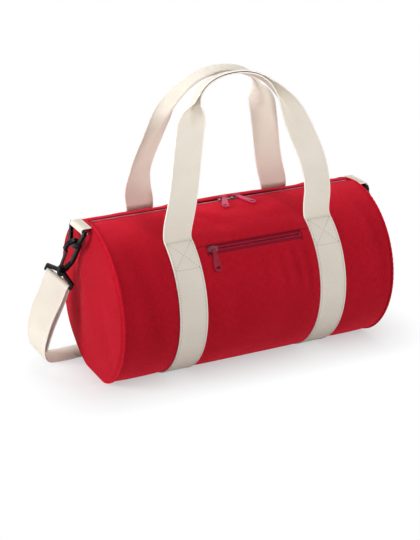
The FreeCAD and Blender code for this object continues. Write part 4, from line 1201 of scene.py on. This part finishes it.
def grip_places(section, fold):
    """Across and out places of a section with both halves turned outwards by a fold angle."""
    fold = np.maximum(fold, LEAST_FOLD)[:, None]
    across, out = np.abs(section[None, :, 0]), section[None, :, 1]
    bent = np.minimum(across, GRIP_BEND)
    turn = fold * bent / GRIP_BEND
    straight = across - bent
    bend = GRIP_BEND / fold
    wide = bend * np.sin(turn) + straight * np.cos(fold) - out * np.sin(turn)
    deep = bend * (1 - np.cos(turn)) + straight * np.sin(fold) + out * np.cos(turn)
    return np.sign(section[None, :, 0]) * wide, deep - GRIP_WIDTH * np.sin(fold) / 2


def handle(name, flip, roll):
    """Webbing of one handle; roll is the turn of its outward-leaning leg about its own length."""
    centres, folded = handle_line()
    lengths = along_line(centres)
    from_end = lengths - lengths[-1]
    backward = leaned(np.array([[0, 1.0, 0]]))
    acrosses = unit(np.cross(tangents_of(centres), backward))
    leg = smooth(from_end, *LEG_START) * (1 - smooth(from_end, *LEG_STOP))
    wide, deep = grip_places(GRIP_SECTION, folded * math.pi / 2)
    cos, sin = np.cos(roll * leg)[:, None], np.sin(roll * leg)[:, None]
    wide, deep = wide * cos - deep * sin, wide * sin + deep * cos
    rings = centres[:, None] + acrosses[:, None] * wide[..., None] - backward * deep[..., None]
    return webbing(name, rings * np.array([flip, flip, 1]), GRIP_SECTION, lengths)


for flip, roll, word in ((1, 0.0, "front"), (-1, REAR_ROLL, "rear")):
    piece = handle(word + "_handle_webbing", flip, roll)
    turn = np.array([1, flip, 1])
    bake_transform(piece)
    stands_for(piece, "webbing", word + "_handle")

# Ring tabs folded round the ring bars: along and up places of the upper and the lower layer
TAB_OVER = ((10.2 * MM, TAB_TURN), (6 * MM, TAB_TURN), (2.5 * MM, TAB_TURN))
TAB_TURNS, TAB_ROWS = 15, 40
TAB_UNDER = ((2.5 * MM, -TAB_TURN), (5.2 * MM, -TAB_TURN - 0.2 * MM))


def tab(name, side):
    turns = np.linspace(math.pi / 2, -math.pi / 2, TAB_TURNS)
    fold = TAB_TURN * np.stack([-np.cos(turns), np.sin(turns)], 1)
    x, z = np.concatenate([TAB_OVER, fold, TAB_UNDER]).T
    y = np.full(len(x), RING_CENTRE.y)
    centres = np.stack([-side * (x + RING_CENTRE.x), y, z + RING_CENTRE.z], 1)
    reach = along_line(centres)
    centres = spline(reach, centres, np.linspace(0, reach[-1], TAB_ROWS))
    return ribbon(name, centres, np.tile([0.0, -side, 0.0], (len(centres), 1)))


for side, word in ENDS:
    worn(tab(word + "_tab_webbing", side), "webbing", word + "_ring_tab")

# Shoulder strap: doubled over each eye bar, falling to the floor and lying behind the bag
HOOK_UP = Vector((HOOK_OUT, -HOOK_BACK, math.sqrt(1 - HOOK_OUT**2 - HOOK_BACK**2)))
HOOK_IN = (Vector((1, 0, 0)) - HOOK_UP * HOOK_UP.x).normalized()
HOOK_SIDE = HOOK_UP.cross(HOOK_IN)
BAR_ALONG = HOOK_SIDE * math.cos(EYE_TURN) - HOOK_IN * math.sin(EYE_TURN)
BAR_OUT = -(HOOK_IN * math.cos(EYE_TURN) + HOOK_SIDE * math.sin(EYE_TURN))
LOOP_TURNS = 9
INNER_ROWS, LOOP_ROWS, OUTER_ROWS, RUN_ROWS = 60, 18, 70, 140


def round_bar(turn):
    """Place on the loop round the eye bar, from its inner side at half a turn to its outer."""
    return np.array(BAR_CENTRE + (BAR_OUT * math.cos(turn) + HOOK_UP * math.sin(turn)) * LOOP_TURN)


def fall_line():
    """Points of the outer layer from the eye bar to the floor, with their turn shares."""
    fall, back, out, turn = np.array(FALL_SHARES).T
    way = RUN_START - BAR_CENTRE
    points = np.stack([-out * STRAP_BULGE, back * way.y, fall * way.z], 1) + np.array(BAR_CENTRE)
    first = round_bar(0) - np.array(HOOK_UP) * SEAT
    last = np.array(RUN_START) - np.array([SEAT, 0, 0])
    return np.concatenate([[first], points, [last]]), np.concatenate([[0], turn, [1]])


def width_directions(centres, turns):
    turns = turns[:, None]
    acrosses = np.array(BAR_ALONG) * (1 - turns) + np.array([0, 1.0, 0]) * turns
    return squared(acrosses, tangents_of(centres))


def strap_end(name, layers, mirror):
    """Inner layer up to the bar, round it, and the outer layer down to the floor."""
    points, turns = fall_line()
    faces = np.cross(width_directions(points, turns), tangents_of(points))
    levels = WEBBING + SEAT + LAYER_SPREAD * np.array(LAYER_SHARES[:layers])
    inner = points[:layers] - faces[:layers] * levels[:, None]
    inner[0] = round_bar(math.pi) - np.array(HOOK_UP) * SEAT
    over = np.array([round_bar(turn) for turn in np.linspace(math.pi, 0, LOOP_TURNS)[1:-1]])
    centres = np.concatenate([inner[::-1], over, points])
    shares = np.concatenate([turns[:layers][::-1], np.zeros(len(over)), turns])
    reach = along_line(centres)
    start, end = reach[layers - 1], reach[layers + len(over)]
    places = np.concatenate([
        np.linspace(0, start, INNER_ROWS)[:-1], np.linspace(start, end, LOOP_ROWS),
        np.linspace(end, reach[-1], OUTER_ROWS)[1:],
    ])
    centres, shares = spline(reach, centres, places), np.interp(places, reach, shares)
    acrosses = width_directions(centres, shares)
    if mirror < 0:
        centres, acrosses = centres * np.array([-1, 1, 1]), acrosses * np.array([1, -1, -1])
    return ribbon(name, centres, acrosses)


STRAP_ENDS = (("left", FOLD_POINTS, 1, "fold"), ("right", len(FALL_SHARES) + 2, -1, "return"))
for word, layers, mirror, inner in STRAP_ENDS:
    piece = strap_end(word + "_strap_webbing", layers, mirror)
    turn = np.array([mirror, 1, 1])
    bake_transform(piece)
    nodes = [word + "_strap_" + part for part in ("loop", "fall", inner)]
    stands_for(piece, "webbing", *nodes)


def floor_strap(name, start, height):
    x = np.linspace(start, SEAT - RUN_START.x, RUN_ROWS)
    centres = np.stack(np.broadcast_arrays(x, RUN_START.y, height), 1)
    return ribbon(name, centres, np.tile([0, -1.0, 0], (len(x), 1)))


run = floor_strap("floor_webbing", RUN_START.x - SEAT, RUN_START.z)
worn(run, "webbing", "strap_run")
back_layer = floor_strap("back_layer_webbing", RETURN_START, RETURN_HEIGHT)
worn(back_layer, "webbing", "strap_return")
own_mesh(back_layer)

# Sewing
BOX_TOP = arc(FOLD_ANGLE + 1.9)
BOX_HALF = WEBBING_WIDTH / 2 - 2.6 * MM
BOX_LOW = BOX_TOP + arc(20.3)
EDGE_PITCH = 3.6 * MM
LIP_STITCH = ZIP_LIP + 2.4 * MM
LIP_STITCH_FOLLOW = 0.8
LIP_STITCH_POINTS = 120
WINDOW_STITCH = WINDOW_LOW + 2.2 * MM
WINDOW_STITCH_MORE = 2.4 * MM
SEAM_STITCH = POCKET_TOP - 2.6 * MM
BOTTOM_STITCH = POCKET_BOTTOM - 3 * MM
TACK_MORE = 0.9 * MM
TACK_START = arc(POCKET_TOP_ANGLE + 1.4)
TACK_PITCH = 1.1 * MM
# Painted shadow: a close row of dark stitches at the foot of the seam step over the pocket stands
# for the shadow under the seam.
SEAM_SHADOW_LINE = arc(POCKET_TOP_ANGLE + 0.85)
SEAM_SHADOW_PITCH = 1.6 * MM
# Length, width and height of the stitches that differ from the others
TACK_SIZE = (1.4 * MM, 1.5 * MM)
SEAM_SHADOW_SIZE = (2.2 * MM, 0.8 * MM, 0.5 * MM)
TAB_STITCH_INSETS = (3.4 * MM, 6.0 * MM)
TAB_STITCH_POINTS = 20
BOX_LINES = ((0, 1), (1, 2), (2, 3), (3, 0), (0, 2), (1, 3))

cream_sewing = Sewing()
for middle in (-BAND_PLACE, BAND_PLACE):
    left, right = middle - BOX_HALF, middle + BOX_HALF
    for turn in (1, -1):
        top, low = turn * BOX_TOP, turn * BOX_LOW
        corners = [(left, top), (right, top), (right, low), (left, low)]
        for a, b in BOX_LINES:
            cream_sewing.drawn([corners[a], corners[b]], band_face)
    for edge in (left, right):
        cream_sewing.drawn([(edge, BOX_LOW), (edge, GIRTH - BOX_LOW)], band_face, EDGE_PITCH)
cream_sewing.make("band_stitches", "webbing", cream_thread)

red_sewing = Sewing()
for side in (1, -1):
    line_x = np.linspace(-CHAIN_END, CHAIN_END, LIP_STITCH_POINTS)
    line_s = ZIP_PLACE + side * LIP_STITCH + LIP_STITCH_FOLLOW * lip_wave(line_x, side)
    red_sewing.drawn(np.stack([line_x, line_s], 1), barrel_face)
red_sewing.level(SEAM_STITCH, barrel_face)
red_sewing.level(WINDOW_STITCH, pocket_face, pocket_ends(WINDOW_STITCH_MORE))
red_sewing.level(BOTTOM_STITCH, pocket_face)
bar_sewing = Sewing()
for x in pocket_ends(TACK_MORE):
    bar_sewing.drawn([(x, TACK_START), (x, WINDOW_STITCH)], pocket_face, TACK_PITCH)
bar_sewing.make("pocket_bar_tacks", "body_cloth", dark_thread, *TACK_SIZE)


def under_seam(x, s):
    """The tape in the zip opening, and the panel beside it."""
    return np.where(in_window(x), POCKET_ZIP_OFFSET + TAPE / 2, pocket_face(x, s))


# The dark seam line is painted shadow under the seam's edge, set as close dark stitches on the zip
# tape and the panel.
seam_shadow_sewing = Sewing()
seam_shadow_sewing.level(SEAM_SHADOW_LINE, under_seam, pitch=SEAM_SHADOW_PITCH)
seam_shadow_sewing.make("pocket_seam_shadow", "body_cloth", dark_thread, *SEAM_SHADOW_SIZE)
red_sewing.make("cloth_stitches", "body_cloth", red_thread)

tab_sewing = Sewing()
tab_top = RING_CENTRE.z + TAB_TURN + WEBBING / 2
tab_y = np.linspace(-BOX_HALF, BOX_HALF, TAB_STITCH_POINTS) + RING_CENTRE.y
for side in (-1, 1):
    for inset in TAB_STITCH_INSETS:
        x = side * (-RING_CENTRE.x - inset)
        points = np.stack(np.broadcast_arrays(x, tab_y, tab_top), 1)
        tab_sewing.line(points, np.tile([0, 0, 1.0], (len(points), 1)))
tab_sewing.make("tab_stitches", "webbing", cream_thread)

# Finishes of the hard pieces, which keep their own solids
HARD_PIECES = {
    "pink_paint": ("left_zip_puller", "right_zip_puller"),
    # The pocket puller takes the darker copy of the pink paint, as painted shade.
    "crimson_paint": ("pocket_puller",),
    "slider_paint": ("left_zip_slider", "right_zip_slider", "pocket_slider"),
    "crimson_coil": ("pocket_left_stop", "pocket_right_stop"),
    "black_moulding": (
        "left_ring", "right_ring", "left_snap_hook", "right_snap_hook", "left_hook_gate",
        "right_hook_gate", "left_swivel_eye", "right_swivel_eye", "strap_adjuster",
    ),
}
for finish, nodes in HARD_PIECES.items():
    for node in nodes:
        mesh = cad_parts[node].data
        mesh.materials.clear()
        mesh.materials.append(mouldings[finish])

# Floor, light and camera. The floor turns white over a reach, measured from a box round the
# bag's foot
SHADOW_REACH = 0.095
SHADOW_START = 0.52
SHADOW_POWER = 1.3
FLOOR_CORNERS = ((-9, -9, 0), (9, -9, 0), (9, 9, 0), (-9, 9, 0))
FLOOR_STEPS = (
    ("ABSOLUTE", None), ("SUBTRACT", (0.2, 0.035, 0)), ("MAXIMUM", (0, 0, 0)), ("LENGTH", None),
)
BOUNCED_TONE = (0.68, 0.68, 0.68, 1)
SEEN_TONE = (0.90, 0.95, 0.96, 1)
FILL_TONE = (0.8, 0.8, 0.8, 1)
FILL_STRENGTH = 0.42
WHITE = (1, 1, 1, 1)


def floor_finish():
    """Pale floor that keeps the bag's shadow and turns plain white away from it."""
    material = new_material("pale_floor")
    made = Nodes(material.node_tree)
    seen = made.seen_rays()
    away = made.add("ShaderNodeTexCoord", "Object", {})
    for operation, value in FLOOR_STEPS:
        output = "Value" if operation == "LENGTH" else "Vector"
        inputs = {0: away, 1: value}
        away = made.add("ShaderNodeVectorMath", output, inputs, operation=operation)
    inputs = {"Value": away, "From Max": SHADOW_REACH, "To Min": SHADOW_START}
    far = made.add("ShaderNodeMapRange", 0, inputs)
    bare = made.math("POWER", far, SHADOW_POWER)
    tone = made.blend(seen, BOUNCED_TONE, SEEN_TONE)
    matt = made.add("ShaderNodeBsdfDiffuse", 0, {"Color": tone})
    white = made.add("ShaderNodeEmission", 0, {"Color": WHITE, "Strength": 1.0})
    both = made.either(made.math("MULTIPLY", bare, seen), matt, white)
    made.end("ShaderNodeOutputMaterial", "Surface", both)
    return material


floor_mesh = bpy.data.meshes.new("floor")
floor_mesh.from_pydata(FLOOR_CORNERS, [], [(0, 1, 2, 3)])
floor = link("floor", floor_mesh, floor_finish())

world = bpy.data.worlds.new("studio")
bpy.context.scene.world = world
world.use_nodes = True
studio = Nodes(world.node_tree)
fill, backdrop = (
    studio.add("ShaderNodeBackground", 0, {"Color": tone, "Strength": strength})
    for tone, strength in ((FILL_TONE, FILL_STRENGTH), (WHITE, 1.0))
)
both = studio.either(studio.seen_rays(), fill, backdrop)
studio.end("ShaderNodeOutputWorld", "Surface", both)


def set_up(name, data, place, towards):
    """A lamp or camera at a place, facing along a direction."""
    thing = bpy.data.objects.new(name, data)
    thing.location = place
    thing.rotation_euler = towards.to_track_quat("-Z", "Y").to_euler()
    bpy.context.scene.collection.objects.link(thing)
    return thing


# Kind, place, aim, power and settings of each lamp
HANDLE_SPOT = {"spot_size": math.radians(13), "spot_blend": 1.0, "shadow_soft_size": 0.12}
LAMPS = {
    "left_softbox": ("AREA", (-2.05, 0.2, 0.7), (0, 0, 0.12), 33, {"size": 0.8}),
    "top_softbox": ("AREA", (0.22, 0.72, 1.75), (0, 0, 0.1), 16, {"size": 1.0}),
    "right_softbox": ("AREA", (1.35, -1.75, 0.62), (0.1, 0, 0.2), 16, {"size": 0.5}),
    "front_fill": ("AREA", (-1.0, -2.2, 0.62), (0, 0, 0.25), 3, {"size": 0.5}),
    "handle_fill": ("SPOT", (-0.6, -2.25, 0.62), (0, 0.03, 0.36), 80, HANDLE_SPOT),
}
for name, (kind, place, aim, power, settings) in LAMPS.items():
    light = bpy.data.lights.new(name, kind)
    light.energy = power
    if kind == "AREA":
        light.shape = "DISK"
    for key, value in settings.items():
        setattr(light, key, value)
    set_up(name, light, place, Vector(aim) - Vector(place))

CAMERA_AZIMUTH = math.radians(-26.68)
CAMERA_ELEVATION = math.radians(22.15)
CAMERA_DISTANCE = 1.97
CAMERA_AIM = Vector((0, 0, 0.1))
CAMERA_VIEW = {"sensor_width": 36, "lens": 94.6, "shift_x": -0.0326, "shift_y": 0.0206}
level = math.cos(CAMERA_ELEVATION)
back = Vector((
    math.sin(CAMERA_AZIMUTH) * level,
    -math.cos(CAMERA_AZIMUTH) * level,
    math.sin(CAMERA_ELEVATION),
))
view = bpy.data.cameras.new("photo_view")
for key, value in CAMERA_VIEW.items():
    setattr(view, key, value)
camera = set_up("photo_view", view, CAMERA_AIM + back * CAMERA_DISTANCE, -back)
bpy.context.scene.camera = camera
bpy.context.scene.view_settings.view_transform = "Standard"
